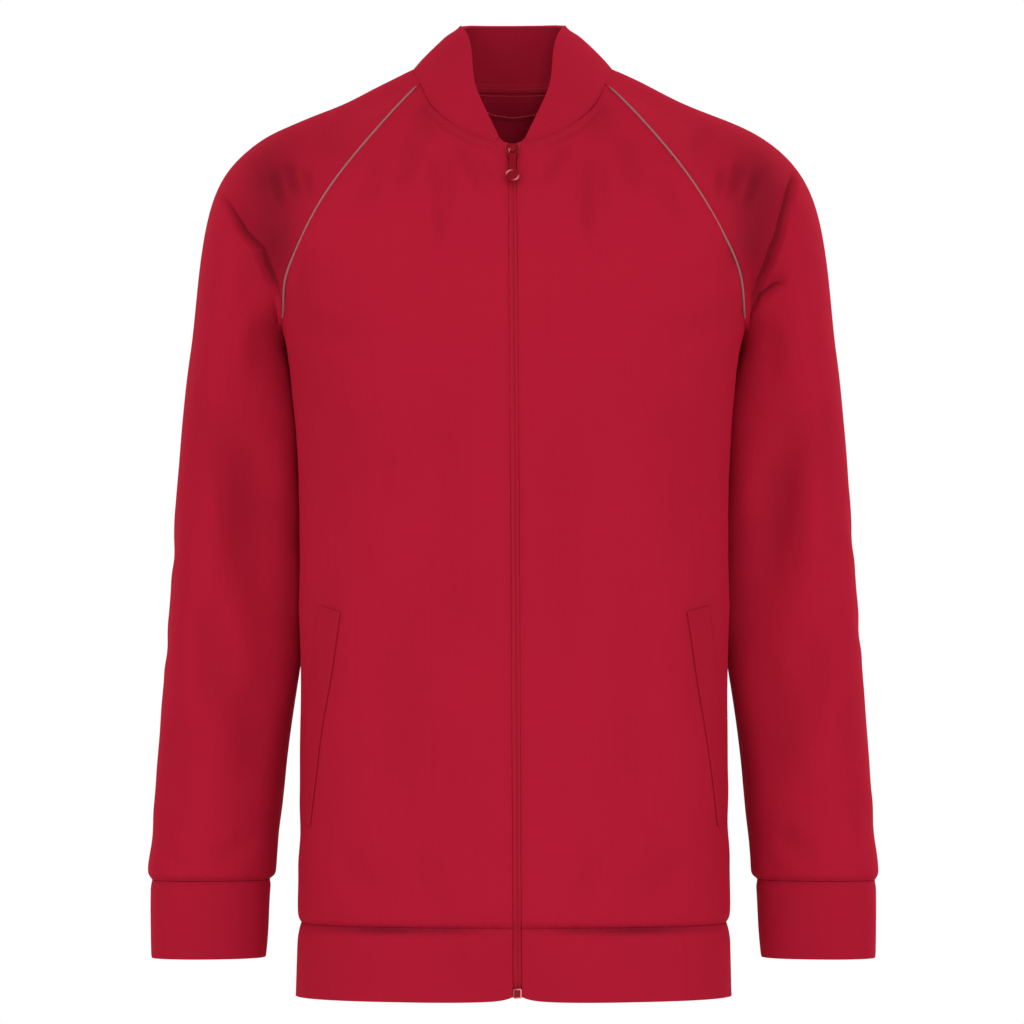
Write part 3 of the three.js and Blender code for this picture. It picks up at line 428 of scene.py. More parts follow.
@dataclass(frozen=True)
class Crease:
    """One soft trough or ridge in the cloth.

    Args:
        facing: the side of the jacket it is drawn on.
        path: its points in mm, as sideways and height on front and back, and as depth and height on a side.
        wide: half its width, in mm.
        deep: its depth in mm; a ridge has a depth below 0.
        tone: how dark the painted shade in it is, from 0 to 1; without one it goes by the depth.
        tuck: for cloth that folds under at the path, how far it takes to rise again on the left of the
            path as it runs, in mm; below 0 it is on the right.
        lip: how high its shoulders stand, as a share of its depth.
    """

    facing: Facing
    path: Path
    wide: float
    deep: float
    tone: float | None = None
    tuck: float = 0.0
    lip: float = 0.35

    def flat(self, at: np.ndarray) -> np.ndarray:
        """Some points as the crease's side sees them."""
        return at[:, [1 if self.facing in (Facing.LEFT, Facing.RIGHT) else 0, 2]]

    def reached(self, at: np.ndarray, outward: np.ndarray, reach: float) -> tuple[np.ndarray, np.ndarray]:
        """Finds the points that may lie within reach of the crease.

        Args:
            at: the points, in mm.
            outward: the way the cloth faces at each point.
            reach: how far from the path they may lie, in mm.

        Returns:
            The numbers of those points, and how squarely they face the crease's side.
        """
        flat = self.flat(at)
        path = np.array(self.path, float)
        inside = np.all((flat > path.min(0) - reach) & (flat < path.max(0) + reach), axis=1)
        turned = outward @ np.array(self.facing.value, float)
        chosen = np.flatnonzero(inside & (turned > 0.05))
        return chosen, turned[chosen]

    def measured(self, at: np.ndarray) -> tuple[np.ndarray, np.ndarray, np.ndarray]:
        """Measures some points against the crease's path.

        Args:
            at: the points, in mm.

        Returns:
            Each point's distance from the path, its share of the path's length, and which side it is on.
        """
        flat = self.flat(at)
        path = np.array(self.path, float)
        lengths = np.linalg.norm(np.diff(path, axis=0), axis=1)
        starts = np.concatenate([[0.0], np.cumsum(lengths)])
        nearest = np.full(len(flat), np.inf)
        run = np.zeros(len(flat))
        leftward = np.zeros(len(flat))
        for index, length in enumerate(lengths):
            way = (path[index + 1] - path[index]) / length
            offset = flat - path[index]
            share = np.clip(offset @ way, 0, length)
            gap = np.linalg.norm(offset - share[:, None] * way, axis=1)
            closer = gap < nearest
            nearest[closer] = gap[closer]
            run[closer] = (starts[index] + share[closer]) / starts[-1]
            leftward[closer] = (way[0] * offset[:, 1] - way[1] * offset[:, 0])[closer]
        return nearest, run, leftward

    def press(self, at: np.ndarray, outward: np.ndarray, depth: np.ndarray, shade: np.ndarray) -> None:
        """Adds the crease to the depth and the painted shade of some points.

        Args:
            at: the points, in mm.
            outward: the way the cloth faces at each point.
            depth: how deep each point lies, in mm, which grows by this crease.
            shade: the painted shade at each point, from 0 to 1, which grows too.
        """
        chosen, turned = self.reached(at, outward, max(self.wide * 3.2, abs(self.tuck) * 2.4))
        if not len(chosen):
            return
        nearest, run, leftward = self.measured(at[chosen])
        taper = smooth(run / 0.3) * smooth((1 - run) / 0.45)
        across = nearest / self.wide
        trough = np.exp(-across ** 2)
        shoulder = self.lip * np.exp(-((across - 1.75) / 0.7) ** 2)
        if self.tuck:
            under = leftward * self.tuck > 0
            trough = np.where(under, np.exp(-(nearest / self.tuck) ** 2), trough)
            shoulder = np.where(under, 0, shoulder)
        faced = taper * smooth((turned - 0.05) / 0.45)
        # Painted shade: dark along the trough and a little lighter on its shoulders.
        tone = self.deep * 0.035 if self.tone is None else self.tone
        depth[chosen] += self.deep * (trough - shoulder) * faced
        shade[chosen] += tone * (trough - shoulder * 0.5) * faced


def smooth(value: np.ndarray) -> np.ndarray:
    """A soft step from 0 to 1."""
    held = np.clip(value, 0, 1)
    return held * held * (3 - 2 * held)


FRONT = Facing.FRONT
BACK = Facing.BACK


def mirrored(path: Path) -> Path:
    """A path on the other side of the jacket's middle."""
    return tuple((-x, z) for x, z in path)


def lowered(path: Path, drop: float) -> Path:
    """A path this many mm further down."""
    return tuple((x, z - drop) for x, z in path)


NECK_STITCHES = ((14, -63.6), (31.6, -57.8), (52.4, -46.4), (68.8, -30.4), (76.4, -14.5))
ARMHOLE_FOLD_RIGHT = (
    (-231, -88), (-225, -101), (-218, -116), (-211, -128), (-198, -143), (-193, -157), (-188, -167),
    (-181, -179), (-173, -205),
)
ARMHOLE_FOLD_LEFT = (
    (222, -58), (219, -78), (214, -102), (206, -132), (198, -154), (190, -172), (181, -194), (176, -208),
)

# Each fold: its path, half width and depth, then where given its painted shade (tone), tuck and lip, as in
# Crease.
FOLDS = (
    (Facing.FRONT, (
        # Front of the right armhole, and the hollow between it and the piping, with painted shade in the
        # hollow
        (ARMHOLE_FOLD_RIGHT, 2.6, 6.4, 0.24, 22, 0.15),
        (ARMHOLE_FOLD_RIGHT, 1.2, 1.6, 0.7, 0, 0.0),
        (((-206, -52), (-190, -84), (-184, -122), (-183, -158), (-178, -190)), 19, 1.6, 0.46, 0, 0.0),
        (((-186, -20), (-188, -52), (-180, -92), (-170, -130)), 28, 0.4, 0.2, 0, 0.0),
        (((-181, -186), (-179, -230), (-179, -290), (-184, -360)), 9, -3.6, 0.0, 0, 0.0),
        (((-176, -66), (-170, -90), (-164, -108)), 4.5, 2.4, 0.22),
        (((-187, -74), (-182, -96), (-177, -114)), 4, 1.8, 0.16),
        (((-162, -74), (-158, -92), (-154, -106)), 4, 1.8, 0.18),
        (((-152, -40), (-138, -60), (-128, -74)), 9, 1.0, 0.08),
        # Front of the right sleeve
        (((-181, -170), (-177, -250), (-176, -320), (-172, -420), (-180, -520), (-188, -610)),
         14, -5.0, 0.0, 0, 0.0),
        (((-178, -280), (-172, -380), (-174, -460), (-182, -540)), 12, -3.0, 0.0, 0, 0.0),
        (((-190, -190), (-196, -214), (-194, -250)), 9, 1.8),
        (((-228, -250), (-216, -320), (-205, -382), (-192, -440)), 15, 4.0, 0.14),
        (((-206, -280), (-196, -340), (-182, -392)), 11, 2.8, 0.1),
        (((-246, -240), (-240, -300), (-238, -350)), 14, 1.8),
        (((-244, -400), (-230, -466), (-224, -530)), 14, 2.6, 0.08),
        (((-206, -462), (-203, -520), (-210, -580)), 13, 2.8, 0.1),
        (((-262, -490), (-258, -556), (-262, -612)), 13, 1.6),
        (((-200, -590), (-214, -606), (-236, -614)), 8, 1.8),
        (((-274, -600), (-262, -615), (-246, -621)), 7, 1.4),
        # Front of the left armhole and its hollow, with painted shade in the hollow
        (ARMHOLE_FOLD_LEFT, 2.6, 5.8, 0.22, -20, 0.15),
        (ARMHOLE_FOLD_LEFT, 1.2, 1.5, 0.6, 0, 0.0),
        (((212, -166), (202, -169), (191, -178), (183, -192)), 1.2, 1.4, 0.6, 0, 0.0),
        (((214, -164), (201, -169), (188, -180), (181, -194)), 4, 3.0, 0.16, -9),
        (((206, -52), (192, -84), (186, -122), (184, -154), (179, -186)), 19, 1.6, 0.46, 0, 0.0),
        (((186, -20), (188, -52), (180, -92), (170, -130)), 28, 0.4, 0.18, 0, 0.0),
        (((181, -190), (179, -236), (179, -296), (184, -364)), 9, -3.6, 0.0, 0, 0.0),
        (((176, -66), (170, -90), (165, -108)), 4.5, 2.4, 0.22),
        (((190, -74), (184, -98), (178, -116)), 4, 1.8, 0.16),
        (((162, -74), (159, -92), (156, -106)), 4, 1.8, 0.18),
        (((152, -40), (140, -58), (130, -72)), 9, 1.0, 0.08),
        # Front of the left sleeve
        (((181, -170), (178, -250), (176, -320), (172, -420), (180, -520), (188, -610)),
         14, -5.0, 0.0, 0, 0.0),
        (((178, -280), (172, -380), (174, -460), (182, -540)), 12, -3.0, 0.0, 0, 0.0),
        (((198, -190), (202, -216), (198, -262)), 9, 1.8),
        (((226, -250), (214, -318), (204, -380), (191, -442)), 15, 4.0, 0.14),
        (((208, -294), (198, -352), (184, -402)), 11, 2.8, 0.1),
        (((246, -250), (243, -310), (236, -366)), 14, 1.8),
        (((240, -430), (226, -496), (222, -552)), 14, 2.6, 0.08),
        (((206, -455), (203, -514), (209, -572)), 13, 2.8, 0.1),
        (((266, -470), (262, -540), (268, -600)), 13, 1.6),
        (((202, -588), (218, -605), (240, -612)), 8, 1.8),
        # Chest, drawn from the neck seam and the piping
        (((-66, -58), (-59, -88), (-57, -124), (-60, -156)), 5, 2.0, 0.12),
        (((-54, -62), (-49, -90), (-50, -128)), 4, 1.5, 0.08),
        (((-75, -46), (-80, -74), (-92, -106)), 8, 1.6, 0.12),
        (((-98, -62), (-110, -92), (-126, -118)), 9, 1.5, 0.06),
        (((-46, -56), (-34, -76), (-19, -104)), 5, 1.8, 0.12),
        (((-34, -60), (-22, -78), (-12, -96)), 4, 1.2, 0.08),
        (((-72, -22), (-69, -42), (-60, -62)), 9, 0.8, 0.2, 0, 0.0),
        (((64, -58), (58, -88), (57, -120), (62, -152)), 5, 2.0, 0.12),
        (((72, -60), (69, -90), (74, -122)), 4, 1.4, 0.08),
        (((84, -46), (90, -76), (106, -108)), 8, 1.6, 0.1),
        (((44, -56), (31, -78), (19, -100)), 5, 1.8, 0.12),
        (((114, -78), (124, -102), (138, -128)), 9, 1.5, 0.06),
        (((70, -22), (67, -42), (58, -62)), 9, 0.8, 0.18, 0, 0.0),
        (NECK_STITCHES, 1.5, -0.5, 0.0, 0, 0.0),
        (lowered(NECK_STITCHES, 3.4), 1.9, 0.5, 0.2, 0, 0.0),
        (mirrored(NECK_STITCHES), 1.5, -0.5, 0.0, 0, 0.0),
        (lowered(mirrored(NECK_STITCHES), 3.4), 1.9, 0.5, 0.2, 0, 0.0),
        (((-172, -190), (-148, -204), (-114, -208)), 11, 1.8, 0.05),
        (((172, -188), (146, -202), (108, -208)), 11, 1.8, 0.05),
        # Fronts, long and shallow
        (((-130, -230), (-134, -330), (-126, -430)), 18, 2.2, 0.04),
        (((-52, -240), (-48, -350), (-58, -480)), 18, 1.6, 0.03),
        (((-150, -380), (-146, -450), (-152, -520)), 12, 1.4),
        (((-96, -420), (-88, -500), (-96, -590)), 16, 1.5, 0.03),
        (((126, -220), (132, -330), (124, -440)), 18, 2.2, 0.04),
        (((44, -250), (42, -380), (52, -510)), 18, 1.6, 0.03),
        (((148, -390), (144, -470), (150, -530)), 12, 1.4),
        (((92, -400), (88, -490), (98, -580)), 16, 1.5, 0.03),
        (((-136, -596), (-112, -632), (-84, -652)), 13, 1.6, 0.04),
        (((-72, -604), (-58, -636), (-48, -660)), 10, 1.3, 0.04),
        (((134, -600), (108, -636), (80, -654)), 13, 1.6, 0.04),
        (((68, -600), (56, -636), (44, -660)), 10, 1.3, 0.04),
        # The fronts hang over the waistband's seam, with a painted shadow along it
        (((-13, -665), (-80, -665.6), (-150, -665.6)), 3.0, 0.5, 0.44, 0, 0.0),
        (((-66, -665.6), (-120, -665.8), (-190, -665)), 2.8, 0.4, 0.3, 0, 0.0),
        (((13, -665), (80, -665.6), (150, -665.6)), 3.0, 0.5, 0.44, 0, 0.0),
        (((60, -665.6), (120, -665.8), (190, -665)), 2.8, 0.4, 0.3, 0, 0.0),
    )),
    (Facing.BACK, (
        # Back of the armholes and sleeves
        (((-222, -88), (-206, -126), (-190, -160), (-176, -204)), 5, 6.2, 0.24, -22),
        (((-182, -86), (-172, -112), (-166, -136)), 8, 2.2),
        (((220, -84), (206, -124), (192, -158), (178, -204)), 5, 6.2, 0.24, 22),
        (((184, -84), (176, -112), (168, -134)), 8, 2.2),
        (((-196, -190), (-206, -222), (-206, -262)), 10, 2.4),
        (((198, -188), (206, -226), (204, -270)), 10, 2.4),
        (((-194, -300), (-224, -322), (-254, -330)), 10, 3.8),
        (((-192, -360), (-222, -390), (-256, -404)), 11, 4.1),
        (((-204, -424), (-232, -440), (-256, -442)), 10, 2.0),
        (((194, -310), (222, -330), (254, -336)), 10, 3.8),
        (((196, -376), (224, -404), (256, -418)), 11, 3.9),
        (((206, -442), (234, -456), (258, -456)), 10, 2.0),
        (((-214, -500), (-228, -560), (-222, -610)), 12, 1.9),
        (((214, -506), (230, -566), (226, -612)), 12, 1.9),
        # Back panel
        (((-168, -196), (-130, -216), (-84, -222)), 12, 2.4),
        (((168, -194), (126, -212), (80, -220)), 12, 2.4),
        (((-96, -60), (-88, -110), (-92, -168)), 14, 1.8),
        (((94, -62), (90, -116), (96, -170)), 14, 1.8),
        (((-118, -280), (-108, -390), (-116, -480)), 20, 3.5),
        (((116, -270), (110, -380), (120, -490)), 20, 3.5),
        (((4, -180), (-8, -320), (2, -450)), 22, 2.7),
        (((-146, -556), (-90, -584), (-24, -590)), 13, 3.5),
        (((148, -576), (92, -604), (32, -606)), 13, 3.2),
        (((-120, -630), (-70, -646), (-20, -642)), 11, 2.0),
        (((120, -644), (76, -652), (30, -650)), 10, 1.6),
    )),
    (Facing.LEFT, (
        # The two sides
        (((-34, -250), (-24, -330), (-30, -400)), 10, 0.8),
        (((44, -260), (52, -330), (40, -400)), 10, 0.9),
        (((-20, -330), (6, -366), (30, -376)), 10, 1.2),
        (((-18, -420), (8, -440), (30, -440)), 9, 0.9),
        (((2, -480), (-6, -540), (2, -600)), 11, 0.9),
    )),
    (Facing.RIGHT, (
        (((-34, -250), (-26, -324), (-30, -396)), 10, 0.8),
        (((46, -256), (54, -330), (42, -392)), 10, 0.9),
        (((-18, -344), (8, -378), (32, -386)), 10, 1.2),
        (((-20, -430), (6, -452), (28, -452)), 9, 0.9),
        (((4, -490), (-4, -546), (4, -604)), 11, 0.9),
    )),
    (Facing.LEFT, (
        (((-60, -560), (-20, -588), (30, -600)), 12, 0.8),
    )),
    (Facing.RIGHT, (
        (((-60, -570), (-20, -596), (30, -606)), 12, 0.8),
    )),
)
CREASES = tuple(Crease(facing, *fold) for facing, folds in FOLDS for fold in folds)


def creased(points: np.ndarray, way: np.ndarray) -> tuple[np.ndarray, np.ndarray]:
    """The depth that all the creases and the cloth's slack give some points, and the painted shade of the
    creases.

    Args:
        points: the points, in mm.
        way: the way the cloth faces at each point.

    Returns:
        The depth of each point in mm, and its painted shade from 0 to 1.
    """
    depth = slack(points)
    shade = np.zeros(len(points))
    for crease in CREASES:
        crease.press(points, way, depth, shade)
    return depth, shade


def beside_thin_folds(points: np.ndarray, way: np.ndarray) -> np.ndarray:
    """Tells which points, given in mm, lie close to a thin crease on the side that their cloth faces."""
    thin, reach = 2, 6
    beside = np.zeros(len(points), bool)
    for crease in CREASES:
        if crease.wide < thin:
            chosen, _ = crease.reached(points, way, reach)
            if len(chosen):
                beside[chosen] |= crease.measured(points[chosen])[0] < reach
    return beside


def placed(name: str, data: Any) -> Object:
    """Puts a new object with this data in the scene."""
    made = bpy.data.objects.new(name, data)
    bpy.context.scene.collection.objects.link(made)
    return made


def divided(made: Object, levels: int) -> Any:
    """Divides an object's faces smoothly this many times, and gives the modifier."""
    soften = made.modifiers.new("soften", "SUBSURF")
    soften.levels = levels
    soften.render_levels = levels
    return soften


def column(items: Any, name: str) -> np.ndarray:
    """One whole number of each of a mesh's loops or faces."""
    found = np.empty(len(items), np.int64)
    items.foreach_get(name, found)
    return found


def vectors(items: Any, name: str) -> np.ndarray:
    """One vector of each of a mesh's items."""
    found = np.empty(len(items) * 3)
    items.foreach_get(name, found)
    return found.reshape(-1, 3)


def positions(mesh: Mesh) -> np.ndarray:
    """The mesh's points, in metres."""
    return vectors(mesh.vertices, "co")


def set_positions(mesh: Mesh, at: np.ndarray) -> None:
    """Moves the mesh's points."""
    mesh.vertices.foreach_set("co", at.ravel())
    mesh.update()


def set_painted_shade_amount(mesh: Mesh, tone: np.ndarray) -> None:
    """Stores the painted shade at each point, from 0 to 1: colour that stands in for the shade in creases,
    seams and grooves.
    """
    layer = mesh.attributes.new("painted_shade_amount", "FLOAT", "POINT")
    layer.data.foreach_set("value", tone.astype(np.float32))


def poured(shape: BMesh, name: str) -> Mesh:
    """Turns a bmesh into a mesh, and frees it."""
    mesh = bpy.data.meshes.new(name)
    shape.to_mesh(mesh)
    shape.free()
    return mesh


def evaluated(made: Object) -> Mesh:
    """A new mesh of an object with its modifiers applied, in place of the object, which goes."""
    bpy.context.view_layer.update()
    shown = made.evaluated_get(bpy.context.evaluated_depsgraph_get())
    fine = bpy.data.meshes.new_from_object(shown)
    bpy.data.objects.remove(made)
    return fine


def dressed(
    made: Object, dye: Material, body: str = "jacket", node: str | None = None
) -> None:
    """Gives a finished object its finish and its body.

    Args:
        made: the object.
        dye: its finish.
        body: the body it rides on.
        node: the CAD node it stands for, where it has one.
    """
    made.data.shade_smooth()
    made.data.materials.clear()
    made.data.materials.append(dye)
    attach(made, body)
    if node is not None:
        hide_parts(node)
    LOG.info("%s: %d faces", made.name, len(made.data.polygons))


def merged(node: str) -> BMesh:
    """A merged copy of a CAD node's mesh, in four-sided faces where they fit."""
    shape = bmesh.new()
    shape.from_mesh(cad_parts[node].data)
    bmesh.ops.remove_doubles(shape, verts=shape.verts, dist=0.01 * MM)
    bmesh.ops.join_triangles(
        shape, faces=shape.faces, angle_face_threshold=0.9, angle_shape_threshold=1.6
    )
    return shape


def object_tree(pieces: Sequence[Object]) -> BVHTree:
    """One search tree over the surfaces of some objects."""
    spots: list[Vector] = []
    faces: list[list[int]] = []
    for piece in pieces:
        first = len(spots)
        spots.extend(v.co.copy() for v in piece.data.vertices)
        faces.extend([first + v for v in p.vertices] for p in piece.data.polygons)
    return BVHTree.FromPolygons(spots, faces)


class Body:
    """The centre lines inside the jacket, from which its cloth faces outwards."""

    ARM = np.array(
        [
            (125, 28, -105), (150, 30, -125), (175, 32, -150), (195, 34, -180), (208, 34, -215),
            (213, 33, -270), (212, 33, -306), (220, 22, -440), (236, 2, -631), (238, 0, -692),
        ],
        float,
    )

    @classmethod
    def centre(cls, node: str, at: np.ndarray) -> np.ndarray:
        """The centre line's point nearest to each point of a cloth piece.

        Args:
            node: the piece's CAD node.
            at: its points, in mm.

        Returns:
            One point of the centre line for each, in mm.
        """
        if "sleeve" in node or "cuff" in node:
            line = cls.ARM * (1 if "left" in node else -1, 1, 1)
            best = np.full(len(at), np.inf)
            found = np.zeros_like(at)
            for start, end in zip(line[:-1], line[1:]):
                way = end - start
                share = np.clip((at - start) @ way / (way @ way), 0, 1)
                spot = start + share[:, None] * way
                gap = np.linalg.norm(at - spot, axis=1)
                closer = gap < best
                best[closer] = gap[closer]
                found[closer] = spot[closer]
            return found
        found = np.zeros_like(at)
        found[:, 1] = -4
        if node == "collar" or "neck" in node:
            found[:, 2] = at[:, 2] - 12
        else:
            found[:, 2] = np.minimum(at[:, 2], -140)
        return found


@dataclass
class Outward:
    """The way the outer layer of each cloth piece faces, shared by both its layers and its neighbours."""

    spots: np.ndarray = field(init=False)
    facing: np.ndarray = field(init=False)
    owner: np.ndarray = field(init=False)

    def gather(self, nodes: Sequence[str]) -> None:
        """Collects the outer faces of the CAD nodes."""
        spots, facing, owner = [], [], []
        for number, node in enumerate(nodes):
            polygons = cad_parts[node].data.polygons
            normal = vectors(polygons, "normal")
            centre = vectors(polygons, "center") / MM
            away = centre - Body.centre(node, centre)
            away /= np.linalg.norm(away, axis=1, keepdims=True) + 1e-9
            kept = np.einsum("ij,ij->i", normal, away) > 0.45
            spots.append(centre[kept])
            facing.append(normal[kept])
            owner.append(np.full(kept.sum(), number))
        self.spots = np.concatenate(spots)
        self.facing = np.concatenate(facing)
        self.owner = np.concatenate(owner)

    def at(self, number: int, where: np.ndarray) -> np.ndarray:
        """The way the cloth faces at some points.

        Args:
            number: the cloth piece's place in the list that was gathered.
            where: the points, in mm.

        Returns:
            One unit vector for each.
        """
        own = self.owner == number
        found = np.zeros_like(where)
        for index, spot in enumerate(where):
            gap = np.linalg.norm(self.spots[own] - spot, axis=1)
            near = np.argpartition(gap, min(4, len(gap) - 1))[:5]
            mine = (self.facing[own][near] / (gap[near][:, None] + 1.5)).sum(0)
            mine /= np.linalg.norm(mine) + 1e-9
            gap = np.linalg.norm(self.spots - spot, axis=1)
            near = np.argpartition(gap, 9)[:10]
            alike = np.clip(self.facing[near] @ mine - 0.35, 0, 1)
            shared = (self.facing[near] * (alike / (gap[near] + 1.5))[:, None]).sum(0) + mine * 0.02
            found[index] = shared / (np.linalg.norm(shared) + 1e-9)
        return found


SEAM_HOLD = 0.75
SEWN = 0.9


@dataclass
class ClothPiece:
    """One cut-and-sewn piece: its CAD shell made soft, creased, pinched at its seams and knitted, with
    painted shade in its creases and along its seams.

    Args:
        node: the CAD node it stands for.
        slot: its material slot.
        flat: the width and length of its cut, in metres; not used.
        area: the cut's flat area in square metres, where it isn't a rectangle; not used.
        held: how it is held; not used.
        levels: how often its faces are divided.
        pinch: how deep its seams are pulled in, in mm.
        roll: how far from a seam the cloth rolls down to it, in mm.
        fold_edge: how sharp its folded edges are, from 0 to 1.
        darkest_painted_shade: the darkest painted shade in a fold or along a seam, from 0 to 1.
    """

    node: str
    slot: str
    flat: tuple[float, float]
    area: float | None = None
    held: Held = Held.HUNG
    levels: int = 3
    pinch: float = 1.0
    roll: float = 3.4
    fold_edge: float = 0.45
    made: Object | None = None
    darkest_painted_shade: ClassVar[float] = 0.75

    def build(self, number: int, outward: Outward, others: BVHTree) -> None:
        """Makes the piece.

        Args:
            number: its place among the cloth pieces.
            outward: the way the cloth faces.
            others: the surfaces of the other cloth pieces, to tell seams from free edges.
        """
        shape = merged(self.node)
        sharp = shape.edges.layers.float.new("crease_edge")
        for edge in shape.edges:
            if len(edge.link_faces) == 2 and edge.calc_face_angle(0) > 1.0:
                middle = (edge.verts[0].co + edge.verts[1].co) / 2
                sewn = others.find_nearest(middle, 1.3 * MM)[0] is not None
                edge[sharp] = SEWN if sewn else self.fold_edge
        seam_spots = [
            edge.verts[0].co.lerp(edge.verts[1].co, share)
            for edge in shape.edges
            if edge[sharp] > 0.8
            for share in (0.0, 0.25, 0.5, 0.75)
        ]
        mesh = poured(shape, self.node + "_cage")
        way = outward.at(number, positions(mesh) / MM)
        mesh.attributes.new("outward", "FLOAT_VECTOR", "POINT").data.foreach_set("vector", way.ravel())
        fine = self.softened(mesh)
        self.refine(fine)
        fine.name = self.node + "_cloth"
        self.made = placed(self.node + "_cloth", fine)
        self.lay_cloth_pattern(fine)
        self.crease(fine, seam_spots)

    def softened(self, mesh: Mesh) -> Mesh:
        """Divides a cage smoothly, and swells it until the cloth passes through the cage's own points."""
        cage = placed(self.node + "_cage", mesh)
        soften = divided(cage, 1)
        wanted = positions(mesh)
        for _ in range(3):
            bpy.context.view_layer.update()
            shown = cage.evaluated_get(bpy.context.evaluated_depsgraph_get())
            reached = positions(shown.data)[: len(wanted)]
            set_positions(mesh, positions(mesh) + (wanted - reached) * 0.8)
            cage.update_tag()
        soften.levels = self.levels
        soften.render_levels = self.levels
        return evaluated(cage)

    def refine(self, mesh: Mesh) -> None:
        """Divides the faces beside the thin folds once more, so that the folds stay crisp."""
        shape = bmesh.new()
        shape.from_mesh(mesh)
        shape.verts.ensure_lookup_table()
        layer = shape.verts.layers.float_vector["outward"]
        way = np.array([vert[layer] for vert in shape.verts])
        beside = beside_thin_folds(positions(mesh) / MM, way)
        edges = [
            edge for edge in shape.edges
            if beside[edge.verts[0].index] and beside[edge.verts[1].index] and edge.calc_length() > 1.1 * MM
        ]
        if edges:
            bmesh.ops.subdivide_edges(shape, edges=edges, cuts=2, use_grid_fill=True)
            bmesh.ops.triangulate(shape, faces=[face for face in shape.faces if len(face.verts) > 4])
            shape.to_mesh(mesh)
        shape.free()

    def lay_cloth_pattern(self, mesh: Mesh) -> None:
        """Lays the knit's coordinates on the piece, in metres across and along the cloth."""
        at = positions(mesh) / MM
        away = at - Body.centre(self.node, at)
        if "sleeve" in self.node or "cuff" in self.node:
            turn = np.arctan2(away[:, 0], -away[:, 1])
            radius = 62.0
        elif self.node.startswith("front") or "welt" in self.node or "zip" in self.node:
            turn = np.arctan2(at[:, 0], -(at[:, 1] - 40))
            radius = 130.0
        else:
            turn = np.arctan2(at[:, 0], at[:, 1] + 60)
            radius = 150.0
        loops = column(mesh.loops, "vertex_index")
        starts = column(mesh.polygons, "loop_start")
        first = np.repeat(turn[loops[starts]], column(mesh.polygons, "loop_total"))
        angle = turn[loops]
        angle += np.where(angle - first > math.pi, -2 * math.pi, 0)
        angle += np.where(angle - first < -math.pi, 2 * math.pi, 0)
        pattern = np.stack([angle * radius * MM, at[loops, 2] * MM], axis=1)
        layer = mesh.uv_layers.new(name="cloth")
        layer.data.foreach_set("uv", pattern.ravel())

    def crease(self, mesh: Mesh, seam_spots: list[Vector]) -> None:
        """Works the creases, the slack of the cloth and the pinch of its seams into the piece, with painted
        shade in the creases and along the seams.

        Args:
            mesh: the fine mesh.
            seam_spots: points along its seams, in metres.
        """
        at = positions(mesh)
        way = vectors(mesh.attributes["outward"].data, "vector")
        way /= np.linalg.norm(way, axis=1, keepdims=True) + 1e-9
        points = at / MM
        sink, shade = creased(points, way)
        if seam_spots:
            tree = KDTree(len(seam_spots))
            for index, spot in enumerate(seam_spots):
                tree.insert(spot, index)
            tree.balance()
            gap = np.array([tree.find(spot)[2] for spot in at]) / MM
            sink *= 1 - SEAM_HOLD * np.exp(-(gap / 5) ** 2)
            pinch = self.pinch * np.exp(-(gap / self.roll) ** 2)
            sink += pinch * pucker(points)
            # Painted shade along each seam, as deep as its pinch.
            shade += 0.1 * pinch
        set_painted_shade_amount(mesh, np.clip(shade, 0.0, self.darkest_painted_shade))
        set_positions(mesh, at - way * (sink * MM)[:, None])
        mesh.attributes.remove(mesh.attributes["outward"])

    def dress(self, dyes: Dyes) -> None:
        """Gives the piece its finish and its body."""
        dressed(self.made, dyes[self.slot], node=self.node)


def pucker(points: np.ndarray) -> np.ndarray:
    """How unevenly a seam pulls the cloth in at some points in mm: less at the neck and by the zip."""
    neck_starts, neck_full = -75, -60
    zip_ends, front_full = 7, 11
    x, _, z = points.T
    uneven = 1 + 0.3 * np.sin(x * 0.42 + z * 0.35)
    at_neck = smooth((z - neck_starts) / (neck_full - neck_starts))
    off_zip = smooth((np.abs(x) - zip_ends) / (front_full - zip_ends))
    return uneven * (1 - 0.6 * at_neck) * (0.4 + 0.6 * off_zip)


def slack(points: np.ndarray) -> np.ndarray:
    """How far the cloth's own soft unevenness sinks some points, all in mm."""
    x, y, z = points.T
    broad = np.sin(x * 0.031 + 1.7 * np.sin(z * 0.011 + 0.8) + y * 0.02)
    slow = np.sin(z * 0.023 + 1.3 * np.sin(x * 0.017 + 2.1) + y * 0.014)
    fine = np.sin(x * 0.083 + z * 0.039 + 2.2 * np.sin(z * 0.021 + y * 0.03))
    return broad * 0.4 + slow * 0.3 + broad * fine * 0.22


@dataclass
class Collar(ClothPiece):
    """The stand collar, with the corners of its top edge rounded and its front edges standing open.

    Args:
        corner_at: how far from the middle the corners of the top edge are, in mm.
        corner: how far each corner comes down, in mm.
        inward: how far each corner comes in, in mm.
        edge_at: the height of the middle of the front edges, in mm.
        open: how far the front edges stand further apart on each side, in mm.
    """

    corner_at: float = 45.0
    corner: float = 1.5
    inward: float = 1.2
    edge_at: float = -14.0
    open: float = 1.7

    def crease(self, mesh: Mesh, seam_spots: list[Vector]) -> None:
        """Creases the collar like any cloth, then shapes its corners and its front edges."""
        super().crease(mesh, seam_spots)
        at = positions(mesh)
        x, y, z = (at / MM).T
        aside = np.abs(x)
        near = np.exp(-(((aside - self.corner_at) / 8) ** 2)) * smooth((z - 24) / 12)
        at[:, 2] -= self.corner * near * MM
        at[:, 0] -= np.sign(x) * near * self.inward * MM
        front = smooth((50 - aside) / 14) * smooth((-y - 10) / 14)
        edge = np.exp(-(((z - self.edge_at) / 18) ** 2)) * front
        at[:, 0] += np.sign(x) * self.open * edge * MM
        set_positions(mesh, at)


